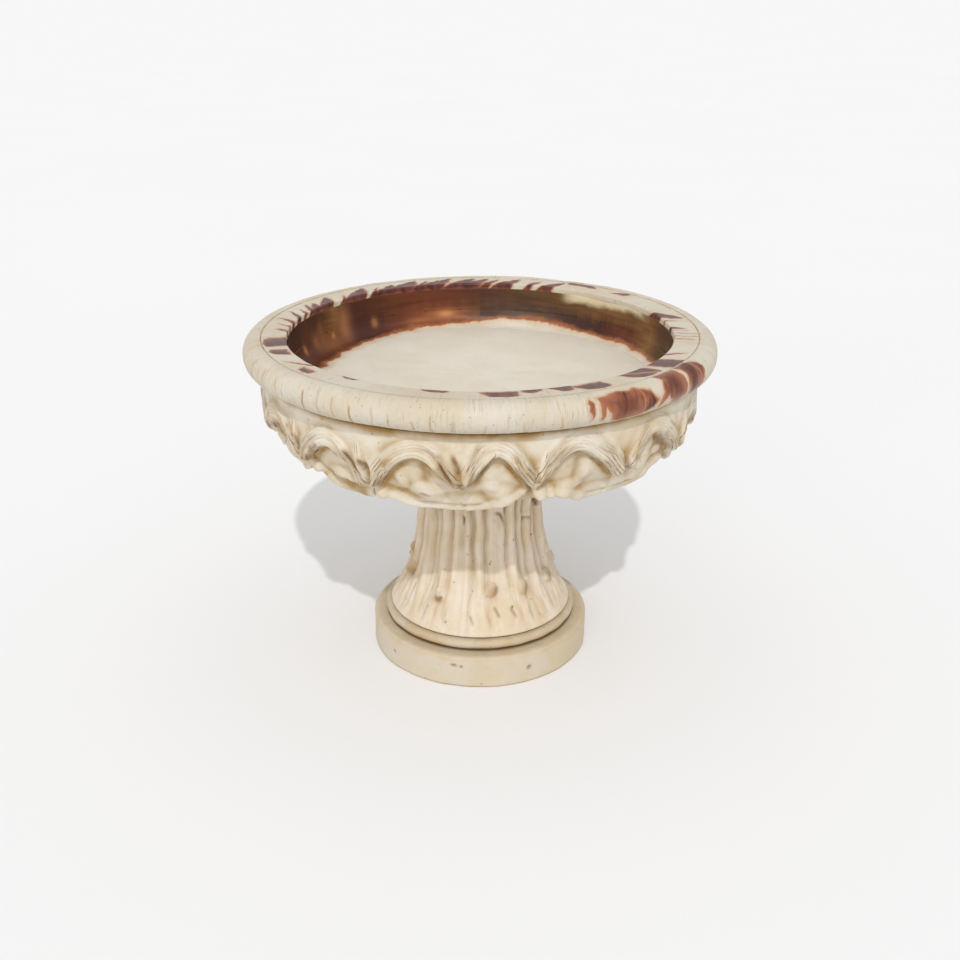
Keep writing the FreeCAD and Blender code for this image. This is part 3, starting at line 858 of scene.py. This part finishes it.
roll.mark("line", roll_lines())
rim_material = glazed_stone("rim_glaze", rgb(84, 44, 34), rgb(150, 94, 70), rgb(176, 118, 76), 0.6)
roll_piece = clad(roll.piece("rim_roll_glazed"), rim_material)
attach(roll_piece, BOWL)
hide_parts("rim_roll")

# ---- Flat glazed band ----

basin_radius = inlay_outer - 30.5
inlay_edge = 2.5
inlay_fall = 1.1
inner_top = inlay_top - inlay_fall
INLAY_COLUMNS = 1700
INLAY_FACE_ROWS = 30

inlay = Turned(np.vstack([
    straight((inlay_outer, inlay_low), (inlay_outer, inlay_top), 2),
    straight((inlay_outer, inlay_top), (basin_radius + inlay_edge, inner_top), INLAY_FACE_ROWS),
    bend((basin_radius + inlay_edge, inner_top - inlay_edge), inlay_edge, 90, 180, 6),
    straight((basin_radius, inner_top - inlay_edge), (basin_radius, inlay_low), 5),
    straight((basin_radius, inlay_low), (inlay_outer, inlay_low), 2),
]), INLAY_COLUMNS)
inlay_level = inlay.radius - np.maximum(0, inner_top - 1 - inlay.height)
inlay_glaze = Glaze(inlay, basin_radius + 15, inlay_level, 71)


def glaze_inlay():
    inner, outer = basin_radius - 8, inlay_outer + 1
    for turn, width, start, end, lean, tip in (
            (-77, 40, inner, outer - 3, 4, 0.12),
            (-66, 24, 250, 272, -6, 0.25),
            (-50, 10, 243, 268, -38, 1.0),
            (-49, 24, 259, 271, 4, 0.2),
            (-35, 30, 243, 252, -6, 0.5),
            (-12, 34, 244, 256, 6, 0.4),
            (4.5, 44, 250, 269, 6, 0.25),
            (13.5, 26, 245, 260, -5, 0.5),
            (20, 30, 245, 264, 8, 0.45),
            (27.5, 40, 251, 273, 10, 0.25),
            (43, 46, inner, 273, 14, 0.12),
            (54, 34, inner, outer + 4, 14, 0.05),
            (62, 8, inner, 268, 20, 0.8),
            (92.5, 16, inner, 262, -12, 0.9),
            (108, 34, inner, 270, -34, 0.6),
            (132, 22, 262, 275, -8, 0.4),
            (146, 44, 266, 279, 10, 0.2)):
        inlay_glaze.streak(turn, width, start, end, lean, tip)
    for turn, width, reach, lean in (
            (-87, 8, 259, 12), (-92, 5, 262, 14), (-96.5, 10, 266, 18), (-102, 13, 268, 26), (-107, 7, 262, 20),
            (-111, 14, 266, 22), (-119, 30, 268, 30), (-128, 8, 258, 16), (-133, 34, 270, 34), (-141, 10, 262, 20),
            (-150, 40, 272, 40), (-157, 14, 266, 26), (-163, 26, 273, 34), (-171, 30, 270, 30), (179, 12, 264, 22),
            (173, 24, 270, 26), (164, 10, 266, 18), (158, 18, 272, 24), (80.5, 2.2, 268, 6), (83, 1.6, 274, 6),
            (86, 2.0, 272, 6), (89, 1.4, 262, 4), (100, 4, 258, 8), (-114, 26, 262, 20), (-145, 30, 264, 26),
            (-160, 26, 266, 30), (-176, 24, 268, 28)):
        inlay_glaze.streak(turn, width * (1.4 if abs(turn) > 115 else 1.1), inner, reach, -lean, 0.8)
    inlay_glaze.bare_line((41, 247), (48.5, 271), 1.3)
    inlay_glaze.bare_line((50.6, inner), (52.6, outer), 1.5)
    inlay_glaze.bare_line((-80, 250), (-79, 271), 1.0)


glaze_inlay()
on_band = inlay.height > inlay_low + 1
inlay.push(np.where(on_band, 0.12 * ripple(inlay.turn, inlay_level, 260, 30, 73), 0))
inlay.mark("glaze", inlay_glaze.depth)
inlay_material = glazed_stone("inlay_glaze", rgb(76, 40, 36), rgb(106, 62, 56), rgb(164, 100, 66), 0.4)
inlay_piece = clad(inlay.piece("rim_inlay_glazed"), inlay_material)
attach(inlay_piece, BOWL)
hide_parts("rim_inlay")

# ---- Basin: wall, cove and floor under one run of glaze ----

floor_low, floor_top = low_of("basin_floor"), top_of("basin_floor")
floor_radius = radius_of("basin_floor")
wall_outer = radius_of("basin_wall")
wall_foot = floor_radius + 0.3
cove = 22.0
cove_top_radius = wall_foot + (basin_radius - wall_foot) * cove / (inlay_low - floor_top)
cove_centre = (cove_top_radius - cove, floor_top + cove)
BASIN_COLUMNS = 720
# The floor is swept from this close to the axis, so its middle looks closed
FLOOR_MIDDLE = 0.02


def glaze_edge(turn):
    """How far down the wall and on over the floor the glaze runs, measured from the basin's rim."""
    foot = inlay_low - floor_top
    spread = {-180: 4, -160: 11, -150: 14, -140: 22, -128: 30, -112: 36, -100: 34, -80: 24, -50: 14, 0: 10,
              60: 12, 95: 8, 112: 6, 130: 8, 150: 2, 165: -6, 172: -2, 180: 4}
    return foot + np.interp(turn, list(spread), list(spread.values()))


def glaze_basin(surface, run):
    """Marks how far each point lies above the glaze's lower edge, and where a painted highlight stands for the
    lamp's reflection.

    run is a point's distance from the basin's rim, down the wall and in over the floor.
    """
    painted_highlight = 0
    # Painted highlight: soft pale copper spots low on the wall where the lamp's reflection falls. Each has a turn,
    # a level, its width, height and strength.
    for turn, level, wide, tall, strength in (
            (-168, 36, 2.6, 5, 0.75), (-168, 37, 7, 10, 0.35), (-141, 37, 1.2, 8, 0.6),
            (-128, 28, 3.0, 28, 0.5), (-122, 39, 0.9, 6, 0.6), (-104, 40, 1.0, 8, 0.7),
            (-112, 36, 2.0, 12, 0.3), (-158, 45, 5, 5, 0.3), (160, 40, 8, 8, 0.15),
            (-116, 26, 1.5, 20, 0.2)):
        aside = (surface.turn - turn + 180) % 360 - 180
        painted_highlight = painted_highlight + strength * np.exp(-(aside / wide) ** 2 - ((run - level) / tall) ** 2)
    surface.mark("painted_highlight", np.clip(painted_highlight, 0, 1))
    ragged = 2.6 * ripple(surface.turn, run, 240, 34, 81)
    edge = glaze_edge(surface.turn) + ragged + ripple(surface.turn, run, 240, 9, 82)
    surface.mark("glaze", edge - run)
    surface.mark("run", run)


wall = Turned(np.vstack([
    straight((wall_outer, floor_low), (wall_outer, inlay_low), 3),
    straight((wall_outer, inlay_low), (basin_radius, inlay_low), 2),
    straight((basin_radius, inlay_low), (wall_foot, floor_top), 40),
    straight((wall_foot, floor_top), (wall_foot, floor_low), 2),
    straight((wall_foot, floor_low), (wall_outer, floor_low), 2),
]), BASIN_COLUMNS)


def wall_wave(surface):
    """Slight unevenness that the wall and its cove share, so that they meet without a step."""
    broad = ripple(surface.turn, surface.height, 243, 70, 83)
    return 0.4 * broad + 0.08 * ripple(surface.turn, surface.height, 243, 16, 84)


wall.push(np.where(wall.radius < basin_radius + 0.01, wall_wave(wall), 0))
glaze_basin(wall, inlay_low - wall.height)

seal = Turned(np.vstack([
    straight((cove_centre[0], floor_top), (wall_foot, floor_top), 4),
    straight((wall_foot, floor_top), (cove_top_radius, floor_top + cove), 4),
    bend(cove_centre, cove, 0, -90, 24),
]), BASIN_COLUMNS)
on_cove = (np.arange(seal.rows) >= 8)[:, None]
foot_fade = smooth(seal.height, floor_top, floor_top + 5)
tuck = 0.9 * smooth(cove_centre[1] - seal.height, 0, 3) - 0.5
behind = np.isin(np.arange(seal.rows), (5, 6, 7))[:, None]
glaze_basin(seal, inlay_low - seal.height + np.maximum(0, cove_top_radius - seal.radius)
            * (wall_foot - cove_centre[0]) / cove)
seal.push(np.where(on_cove, (wall_wave(seal) + tuck) * foot_fade, 1.0 * behind))

floor_disc = Turned(np.vstack([
    straight((FLOOR_MIDDLE, floor_low), (floor_radius, floor_low), 4),
    straight((floor_radius, floor_low), (floor_radius, floor_top), 2),
    straight((floor_radius, floor_top), (FLOOR_MIDDLE, floor_top), 70),
    straight((FLOOR_MIDDLE, floor_top), (FLOOR_MIDDLE, floor_low), 2),
]), BASIN_COLUMNS)
on_top = floor_disc.height > floor_top - 0.01
floor_disc.push(np.where(on_top, 0.25 * ripple(floor_disc.turn, floor_disc.radius, 200, 60, 86), 0)
                * smooth(floor_disc.radius, 0, 40) * smooth(cove_centre[0] - floor_disc.radius, 0, 30))
glaze_basin(floor_disc, inlay_low - floor_top + wall_foot - floor_disc.radius)


def basin_material(name):
    """Brown, copper and olive glaze that changes round the wall and ends in an orange edge on pale stone."""
    make = Material(name)
    parts = make.add("ShaderNodeSeparateXYZ", None, {0: make.place}).outputs
    turn = make.plus(make.math("DIVIDE", make.math("ARCTAN2", parts["X"], parts["Y"]), 2 * math.pi), 0.5)
    wander = make.noise(1000, 4, make.stretched(9, 5, 6))
    turn = make.plus(turn, make.times(make.minus(wander, 0.5), 0.035))
    upper = make.ramp(turn, [
        (0.0, rgb(96, 60, 42)), (0.2, rgb(72, 44, 32)), (0.265, rgb(60, 37, 29)), (0.3, rgb(86, 50, 34)),
        (0.325, rgb(74, 42, 28)), (0.344, rgb(150, 108, 60)), (0.362, rgb(72, 42, 30)), (0.42, rgb(108, 62, 40)),
        (0.46, rgb(112, 64, 42)), (0.5, rgb(88, 58, 42)), (0.55, rgb(98, 74, 50)), (0.61, rgb(124, 94, 60)),
        (0.66, rgb(134, 100, 62)), (0.695, rgb(128, 92, 54)), (0.72, rgb(92, 66, 42)), (0.76, rgb(84, 58, 40)),
        (1.0, rgb(96, 60, 42))])
    lower = make.ramp(turn, [
        (0.0, rgb(110, 66, 44)), (0.22, rgb(92, 52, 36)), (0.3, rgb(96, 54, 38)), (0.335, rgb(132, 86, 50)),
        (0.365, rgb(78, 48, 44)), (0.4, rgb(92, 54, 44)), (0.43, rgb(128, 74, 50)), (0.47, rgb(146, 86, 52)),
        (0.5, rgb(96, 72, 60)), (0.54, rgb(92, 84, 80)), (0.58, rgb(78, 58, 58)), (0.63, rgb(76, 46, 40)),
        (0.665, rgb(118, 68, 46)), (0.695, rgb(156, 118, 70)), (0.72, rgb(100, 72, 46)), (0.8, rgb(92, 60, 42)),
        (1.0, rgb(110, 66, 44))])
    run = make.attribute("run")
    veil = make.noise(1000, 4, make.stretched(16, 6, 10))
    drop = make.plus(run, make.times(make.minus(veil, 0.5), 34.0))
    body = make.blend(make.remap(drop, 10, 38), upper, lower)
    streaks = make.noise(1000, 5, make.stretched(5, 40, 150), rough=0.6)
    body = make.blend(make.remap(streaks, 0.4, 0.7, 0.0, 0.4), body, rgb(58, 34, 28))
    # Painted highlight: the lamp's reflection laid on the glaze colour in pale copper.
    body = make.blend(make.attribute("painted_highlight"), body, rgb(206, 146, 98))
    body = make.blend(0.7, body, rgb(226, 212, 198), "MULTIPLY")
    side = make.times(make.remap(turn, 0.575, 0.6), make.remap(turn, 0.665, 0.69, 1.0, 0.0))
    sheen = make.times(make.minus(make.noise(1000, 3, make.stretched(5, 3, 30)), 0.5), 26.0)
    bare = make.times(side, make.remap(make.plus(run, sheen), 4, 15, 1.0, 0.0))
    body = make.blend(bare, body, rgb(206, 190, 158))
    depth = make.attribute("glaze")
    body = make.blend(make.remap(depth, 0.5, 13, 0.85, 0.0), body, rgb(166, 104, 66))
    cloud = make.noise(60, 5)
    grain = make.noise(1.8, 4, rough=0.75)
    pale = make.blend(make.remap(cloud, 0.35, 0.65), rgb(219, 211, 197), rgb(214, 205, 188))
    pale = make.blend(make.remap(grain, 0.42, 0.75, 0.0, 0.16), pale, rgb(150, 132, 104))
    pale = make.blend(make.remap(depth, -16, 0, 0.0, 0.55), pale, rgb(196, 158, 112))
    inside = make.remap(depth, -2.2, 2.4)
    colour = make.blend(inside, pale, body)
    rough = make.remap(inside, 0.0, 1.0, 0.62, 0.4)
    grit = make.times(grain, make.minus(1.0, inside))
    normal = make.bump(grit, 0.4, 0.6)
    wave = make.minus(make.noise(1000, 2, make.stretched(12, 4, 10)), 0.5)
    wave = make.times(wave, inside)
    normal = make.bump(wave, 1.6, 0.45, normal)
    return make.finish(colour, rough, normal, Specular_IOR_Level=0.18)


basin_glaze = basin_material("basin_glaze")
for surface, name, node, slot in ((wall, "basin_wall_glazed", "basin_wall", "basin_glaze"),
                                  (seal, "basin_cove", "corner_seal", "basin_floor"),
                                  (floor_disc, "basin_floor_stone", "basin_floor", "basin_floor")):
    piece = clad(surface.piece(name), basin_glaze)
    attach(piece, BOWL)
    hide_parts(node)

# ---- Base ring and plinth ----

RING_COLUMNS = 540
bore_radius = 10.0


def chipped(surface, radius, chips, seed):
    """Slight waves and a few chips: each has a turn, a level, its width, height and depth."""
    order = np.argsort(surface.height[:, 0], kind="stable")
    heights = surface.height[order, 0]
    work = Carving(surface, radius, heights, heights, warp=0.6, seed=seed)
    for turn, height, wide, tall, depth in chips:
        work.swell(turn, height, wide, tall, -depth, dark=0.65 if depth > 1.4 else 0.0, power=0.7)
    outer = surface.radius > radius * 0.93
    level = ripple(surface.turn, surface.height, radius, 45, seed + 5)
    surface.push(np.where(outer, work.relief + 0.3 * level, 0))
    surface.mark("crease", np.where(outer, work.crease, 0))


ring_radius = radius_of("base_ring")
ring_low, ring_top = low_of("base_ring"), top_of("base_ring")
ring_half = (ring_top - ring_low) / 2
ring = Turned(np.vstack([
    bend((ring_radius - ring_half, ring_low + ring_half), ring_half, -90, 90, 24),
    straight((ring_radius - ring_half, ring_top), (bore_radius, ring_top), 3),
    straight((bore_radius, ring_top), (bore_radius, ring_low), 2),
    straight((bore_radius, ring_low), (ring_radius - ring_half, ring_low), 3),
]), RING_COLUMNS)
chipped(ring, ring_radius, [(-38, ring_low + 5, 5, 2, 0.8), (27, ring_low + 8, 6, 2, 0.6)], 91)
# The ring's patina mark is darker on its lower half.
ring.mark("patina", 0.3 + 0.45 * smooth(ring_low + ring_half - ring.height, 0, ring_half))

plinth_top = top_of("plinth")
plinth_radius = radius_of("plinth")
plinth_edge = 6.0
washer_pocket = radius_of("lower_washer") + 3.0
pocket_depth = top_of("lower_washer")
plinth = Turned(np.vstack([
    straight((washer_pocket, 0), (plinth_radius - 1.5, 0), 12),
    bend((plinth_radius - 1.5, 1.5), 1.5, -90, 0, 4),
    straight((plinth_radius, 1.5), (plinth_radius, plinth_top - plinth_edge), 28),
    bend((plinth_radius - plinth_edge, plinth_top - plinth_edge), plinth_edge, 0, 90, 9),
    straight((plinth_radius - plinth_edge, plinth_top), (ring_radius - 8, plinth_top), 24),
    straight((ring_radius - 8, plinth_top), (bore_radius, plinth_top), 4),
    straight((bore_radius, plinth_top), (bore_radius, pocket_depth), 2),
    straight((bore_radius, pocket_depth), (washer_pocket, pocket_depth), 2),
    straight((washer_pocket, pocket_depth), (washer_pocket, 0), 2),
]), RING_COLUMNS + 180)
chipped(plinth, plinth_radius, [
    (-51, 22, 3.6, 3.2, 2.2), (-13.5, 31, 5.5, 3.0, 2.4), (-9.5, 30, 3.0, 2.6, 1.8), (-21, 27, 2.2, 2.0, 1.0),
    (26, 21, 4.5, 4.2, 2.2), (63, 36, 14, 9, 1.0), (104, 26, 5, 3, 2.0), (150, 14, 4, 4, 2.0),
    (-128, 30, 6, 3, 2.2), (-172, 20, 3, 3, 1.6), (46, 9, 2.5, 2.0, 1.2)], 95)
# Painted shade on the plinth's top round the ring's foot, given in the patina mark, and a painted shadow line at
# the joint, given in the crease mark.
painted_shade_near_ring = smooth(plinth.radius, ring_radius + 12, ring_radius) * (plinth.height > plinth_top - 1)
joint_shadow = smooth(plinth.radius, ring_radius + 1.5, ring_radius - 3) * (plinth.height > plinth_top - 1)
plinth.mark("crease", np.maximum(plinth.marks["crease"], 0.75 * joint_shadow))
foot_line = smooth(plinth.height, 3.5, 0)
on_shoulder = plinth.height > plinth_top - plinth_edge
plinth.mark("patina", np.maximum(0.15 * on_shoulder + 0.1 * painted_shade_near_ring, foot_line * 0.8))

plain_stone = stone("base_cast_stone", rgb(201, 190, 171), rgb(199, 184, 157), 0.025)
for surface, name, node in ((ring, "base_ring_stone", "base_ring"), (plinth, "plinth_stone", "plinth")):
    piece = clad(surface.piece(name), plain_stone)
    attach(piece, BASE)
    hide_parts(node)

# ---- Pedestal ----

PEDESTAL_COLUMNS = 620
PEDESTAL_REACH = 95.0
pedestal_low, pedestal_top = low_of("pedestal"), top_of("pedestal")
foot_radius = radius_of("pedestal")
neck_radius = 81.0
neck_height = pedestal_low + 153.0
foot_lip = pedestal_low + 2.5
seat_radius = 92.0
seat_low = pedestal_top - 6.0
pocket_radius = radius_of("centring_spigot") + 1.5
pocket_low = low_of("upper_washer")


def pedestal_side(height):
    """Radius of the pedestal before it is carved: two arcs that are upright at the neck."""
    height = np.asarray(height, float)
    wide = np.where(height < neck_height, foot_radius, seat_radius)
    end = np.where(height < neck_height, foot_lip, seat_low)
    rise, spread = end - neck_height, wide - neck_radius
    sweep = (spread ** 2 + rise ** 2) / (2 * spread)
    reach = np.clip(height, foot_lip, seat_low) - neck_height
    return neck_radius + sweep - np.sqrt(sweep ** 2 - reach ** 2)


side_heights = np.concatenate([[pedestal_low + 0.6], np.linspace(foot_lip, seat_low, 138),
                               [pedestal_top - 0.6]])
side = np.column_stack([pedestal_side(side_heights), side_heights])
pedestal = Turned(np.vstack([
    side,
    straight((seat_radius - 0.6, pedestal_top), (pocket_radius, pedestal_top), 3),
    straight((pocket_radius, pedestal_top), (pocket_radius, pocket_low), 2),
    straight((pocket_radius, pocket_low), (bore_radius, pocket_low), 2),
    straight((bore_radius, pocket_low), (bore_radius, pedestal_low), 2),
    straight((bore_radius, pedestal_low), (foot_radius - 0.6, pedestal_low), 3),
]), PEDESTAL_COLUMNS)
folds = Carving(pedestal, PEDESTAL_REACH, side[:, 1], side[:, 1] * 1.06, warp=1.2, seed=17)


def fold_line(turn, top, bottom, sway, flare=0.0, steps=9):
    """A line that runs down the pedestal with a slight sway and flares aside at its foot."""
    path = []
    for share in np.linspace(0, 1, steps):
        aside = sway * math.sin(math.pi * share) + flare * max(0.0, share - 0.6) ** 2 / 0.16
        path.append((turn + aside, top + (bottom - top) * share))
    return path


def hook(turn, height, wide, tall, first, last):
    """A curled line: part of an oval, from one angle of it to another."""
    angles = np.radians(np.linspace(first, last, 10))
    return [(turn + wide * math.cos(angle), height + tall * math.sin(angle)) for angle in angles]


def carve_pedestal():
    rng = np.random.default_rng(23)
    ribs = [-74, -53, -33, -2, 30, 51, 71]
    ribs += list(np.arange(94, 275, 22.5) + rng.uniform(-3, 3, 9))
    for turn in ribs:
        sway, flare = rng.uniform(-2, 2), rng.uniform(-5, 5)
        line = fold_line(turn, 264, 66 + rng.uniform(0, 12), sway, flare)
        folds.ridge(line, 8.5, 5.4, 0.03, 0.45)
        for way in (-1, 1):
            gap = rng.uniform(5.0, 6.5)
            lower = [(t + way * gap * (0.9 + 0.3 * i / 8), z) for i, (t, z) in enumerate(line)]
            folds.fold(lower, 3.6, 2.8, 0.0, rng.uniform(0.02, 0.15), 0.1, 0.4)
            high = [(t + way * 0.5, z) for t, z in lower[:4]]
            folds.fold(high, 2.2, 0.8, 0.3, rng.uniform(0.1, 0.7), 0.1, 0.6)
            folds.stain(turn + way * (gap + 2), 228, 7, 24, rng.uniform(0.0, 0.6))
            foot_turn = turn + way * rng.uniform(3, 5)
            split = fold_line(foot_turn, 118 + rng.uniform(-12, 10), 62, 0, way * rng.uniform(3, 6))
            folds.ridge(split, 6.5, 2.6, 0.6, 0.3)
            folds.fold([(t + way * 2.6, z) for t, z in split[3:]], 2.2, 1.0, 0, rng.uniform(0.05, 0.25), 0.4, 0.5)
            folds.comb(lower, 2.6, rng.uniform(0.5, 1.0))
            folds.comb([(t + way * 2.2, z) for t, z in split], 2.4, rng.uniform(0.3, 1.0))
        folds.ridge(fold_line(turn + 11, 205 + rng.uniform(-10, 30), 120, sway), 9, 1.8, 0.4, 0.5)
    for turn, top, bottom in ((-17, 262, 110), (-8, 240, 95), (62, 250, 120)):
        folds.fold(fold_line(turn, top, bottom, 1.0), 4.5, 2.6, 0.6, 0.18, 0.15, 0.5)
    for turn, height, wide, tall in ((8.6, 116, 6.2, 9.5), (34.7, 114, 7.0, 9.5), (65.8, 112, 6.0, 9.0),
                                     (-72.7, 117, 6.0, 9.0), (-80, 138, 6.5, 7.5), (76, 140, 6, 8),
                                     (99, 113, 6, 9), (131, 117, 6.5, 9), (163, 112, 6, 9), (-165, 118, 6, 8.5),
                                     (-134, 113, 6.5, 9), (-104, 116, 6, 9)):
        folds.swell(turn, height, wide + 4, tall + 4.5, -2.0, dark=0.0)
        folds.stain(turn + 2.0, height - 3, wide + 3.5, tall + 3, 0.85)
        folds.swell(turn, height, wide + 1.5, tall + 1.5, 7.5, power=0.6)
        folds.fold([(turn + 4.8, height + 5), (turn + 4.6, height - 4), (turn + 1.6, height - 11)],
                   2.0, 1.6, 0, 0.45)
    folds.ridge([(-30, 168), (-31, 140), (-32, 118), (-32.4, 108)], 6.5, 4.0, 0.8, 0.02)
    folds.swell(-32.4, 108, 6.5, 9, 3.4, power=0.8)
    folds.stain(-31.5, 97, 10, 6, 0.85)
    folds.fold([(-37, 104), (-33, 96), (-28.5, 104)], 2.0, 2.0, 0, 0.65)
    folds.fold(hook(14, 200, 8.5, 19, 105, -15), 2.6, 3.2, 1.4, 0.75, 0.4, 0.5)
    folds.swell(14, 203, 9, 16, 3.2, tilt=6)
    folds.fold(hook(48, 190, 6, 13, 165, 5), 2.0, 2.2, 0.9, 0.5, 0.35, 0.4)
    folds.swell(48, 190, 7, 13, 2.6)
    folds.fold([(-17.5, 217), (-15.5, 210), (-16, 202), (-15, 194)], 2.0, 2.4, 0.8, 0.75, 0.35, 0.5)
    folds.fold([(66, 222), (69, 212), (68, 205)], 2.6, 2.8, 0.6, 0.9)
    for turn, height in ((23, 84), (11, 86), (44.5, 68), (-6.6, 78), (-53, 62), (95, 80), (150, 70), (-140, 76)):
        folds.fold([(turn - 1, height + 10), (turn + 1.2, height), (turn + 2.4, height - 6)], 1.9, 1.6, 0.4, 0.5)
    for turn, height in ((24, 92), (31, 180), (9, 150), (-24, 74), (58, 172)):
        folds.swell(turn, height, 1.8, 2.2, -1.4, dark=0.8, power=0.7)


carve_pedestal()
on_side = (np.arange(pedestal.rows) < len(side))[:, None]
calm = smooth(pedestal.height, pedestal_low + 1, pedestal_low + 22)
fine = (0.4 * ripple(pedestal.turn, pedestal.height, PEDESTAL_REACH, 26, 41)
        + 0.15 * ripple(pedestal.turn, pedestal.height, PEDESTAL_REACH, 9, 42))
pedestal.push(np.where(on_side, (folds.relief * calm * 0.9 - 1.8 * calm + fine * calm) *
                       smooth(pedestal_top - pedestal.height, 0, 10), 0))
# Patina in the pedestal's hollows, which also serves as painted shade there.
dips = np.clip(folds.hollows(4) / 2.8, 0, 1) * 0.7
# The patina mark grows a little darker towards the top of the pedestal.
darker_towards_top = 0.06 * smooth(pedestal.height, 140, 215)
folds.patina = np.maximum(folds.patina, dips * (0.55 + darker_towards_top)) + darker_towards_top * 0.5
pedestal.mark("patina", np.where(on_side, np.clip(folds.patina * calm, 0, 1), 0))
pedestal.mark("crease", np.where(on_side, np.clip(folds.crease * calm, 0, 1), 0))
pedestal.mark("across", folds.across)
pedestal.mark("strands", folds.strands * calm * on_side)
pedestal_stone = stone("pedestal_cast_stone", rgb(217, 205, 188), rgb(210, 193, 165),
                       streaks=0.16, strands=True)
pedestal_piece = clad(pedestal.piece("carved_pedestal"), pedestal_stone)
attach(pedestal_piece, BASE)
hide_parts("pedestal")

# ---- Materials of the pieces that keep their CAD shape ----


def mortar():
    make = Material("mortar")
    sand = make.noise(2.2, 5, rough=0.7)
    colour = make.blend(make.remap(sand, 0.35, 0.65), rgb(92, 68, 42), rgb(132, 104, 68))
    return make.finish(colour, 0.85, make.bump(sand, 0.5, 0.6), Specular_IOR_Level=0.2)


def joint_line():
    make = Material("joint_line")
    tone = make.noise(8, 4)
    colour = make.blend(make.remap(tone, 0.35, 0.65), rgb(146, 118, 88), rgb(184, 160, 128))
    return make.finish(colour, 0.6, make.bump(tone, 0.3, 0.4), Specular_IOR_Level=0.3)


def rubber():
    make = Material("rubber_seat")
    tone = make.noise(5, 4)
    colour = make.blend(make.remap(tone, 0.3, 0.7), rgb(34, 34, 35), rgb(52, 51, 50))
    return make.finish(colour, make.remap(tone, 0.3, 0.7, 0.55, 0.7), make.bump(make.noise(1.2, 3), 0.2, 0.4))


def steel():
    make = Material("galvanised_steel")
    spangle = make.noise(6, 3)
    drawn = make.noise(1000, 4, make.stretched(60, 60, 900))
    colour = make.blend(make.remap(spangle, 0.3, 0.7), rgb(168, 170, 172), rgb(196, 198, 199))
    rough = make.remap(drawn, 0.3, 0.7, 0.3, 0.46)
    return make.finish(colour, rough, make.bump(drawn, 0.1, 0.3), Metallic=1.0)


kept = {
    mortar(): ("plinth_bed", "pedestal_bed", "rim_bed", "floor_bed"),
    joint_line(): ("inlay_joint",),
    rubber(): ("seat_gasket",),
    steel(): ("tie_rod", "lower_washer", "lower_nut", "upper_washer", "centring_spigot", "socket_cup",
              "rim_dowels"),
}
for material, nodes in kept.items():
    for node in nodes:
        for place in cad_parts[node].material_slots:
            place.material = material

# ---- Camera, floor and light ----

VIEW_HEIGHT = 232.3
VIEW_DISTANCE = 1563.5
VIEW_ELEVATION = 23.236
VIEW_ANGLE = 45.0
# Half the width of the studio floor, in metres
FLOOR_HALF = 200.0

elevation = math.radians(VIEW_ELEVATION)
camera_data = bpy.data.cameras.new("camera")
camera_data.sensor_width = 36.0
camera_data.lens = camera_data.sensor_width / 2 / math.tan(math.radians(VIEW_ANGLE / 2))
camera = bpy.data.objects.new("camera", camera_data)
bpy.context.collection.objects.link(camera)
camera.location = Vector((0, -VIEW_DISTANCE * math.cos(elevation),
                          VIEW_HEIGHT + VIEW_DISTANCE * math.sin(elevation))) * MM
camera.rotation_euler = (math.pi / 2 - elevation, 0, 0)
bpy.context.scene.camera = camera


def floor_sheet():
    """A plain pale studio floor, much wider than the view."""
    half = FLOOR_HALF
    mesh = bpy.data.meshes.new("studio_floor")
    corners = [(-half, -half, 0), (half, -half, 0), (half, half, 0), (-half, half, 0)]
    mesh.from_pydata(corners, [], [(0, 1, 2, 3)])
    floor = bpy.data.objects.new("studio_floor", mesh)
    bpy.context.collection.objects.link(floor)
    make = Material("studio_floor")
    tone = make.remap(make.noise(900, 2), 0.3, 0.7)
    colour = make.blend(tone, (0.812, 0.812, 0.814, 1), (0.818, 0.818, 0.82, 1))
    clad(floor, make.finish(colour, 1.0, Specular_IOR_Level=0.0))


floor_sheet()


def sun(name, elevation, turn, strength, spread):
    """A distant light. Turn 0 shines from the camera's side and 90 from the right."""
    data = bpy.data.lights.new(name, "SUN")
    data.energy = strength
    data.angle = math.radians(spread)
    light = bpy.data.objects.new(name, data)
    bpy.context.collection.objects.link(light)
    light.rotation_euler = (math.radians(90 - elevation), 0, math.radians(turn))


sun("key", 46, 3, 1.3, 1.2)
sun("fill", 12, -20, 0.65, 50)
world = bpy.data.worlds.new("studio")
bpy.context.scene.world = world
world.use_nodes = True
world.node_tree.nodes["Background"].inputs["Color"].default_value = (1.0, 1.0, 1.0, 1)
world.node_tree.nodes["Background"].inputs["Strength"].default_value = 0.8
bpy.context.scene.view_settings.view_transform = "Standard"
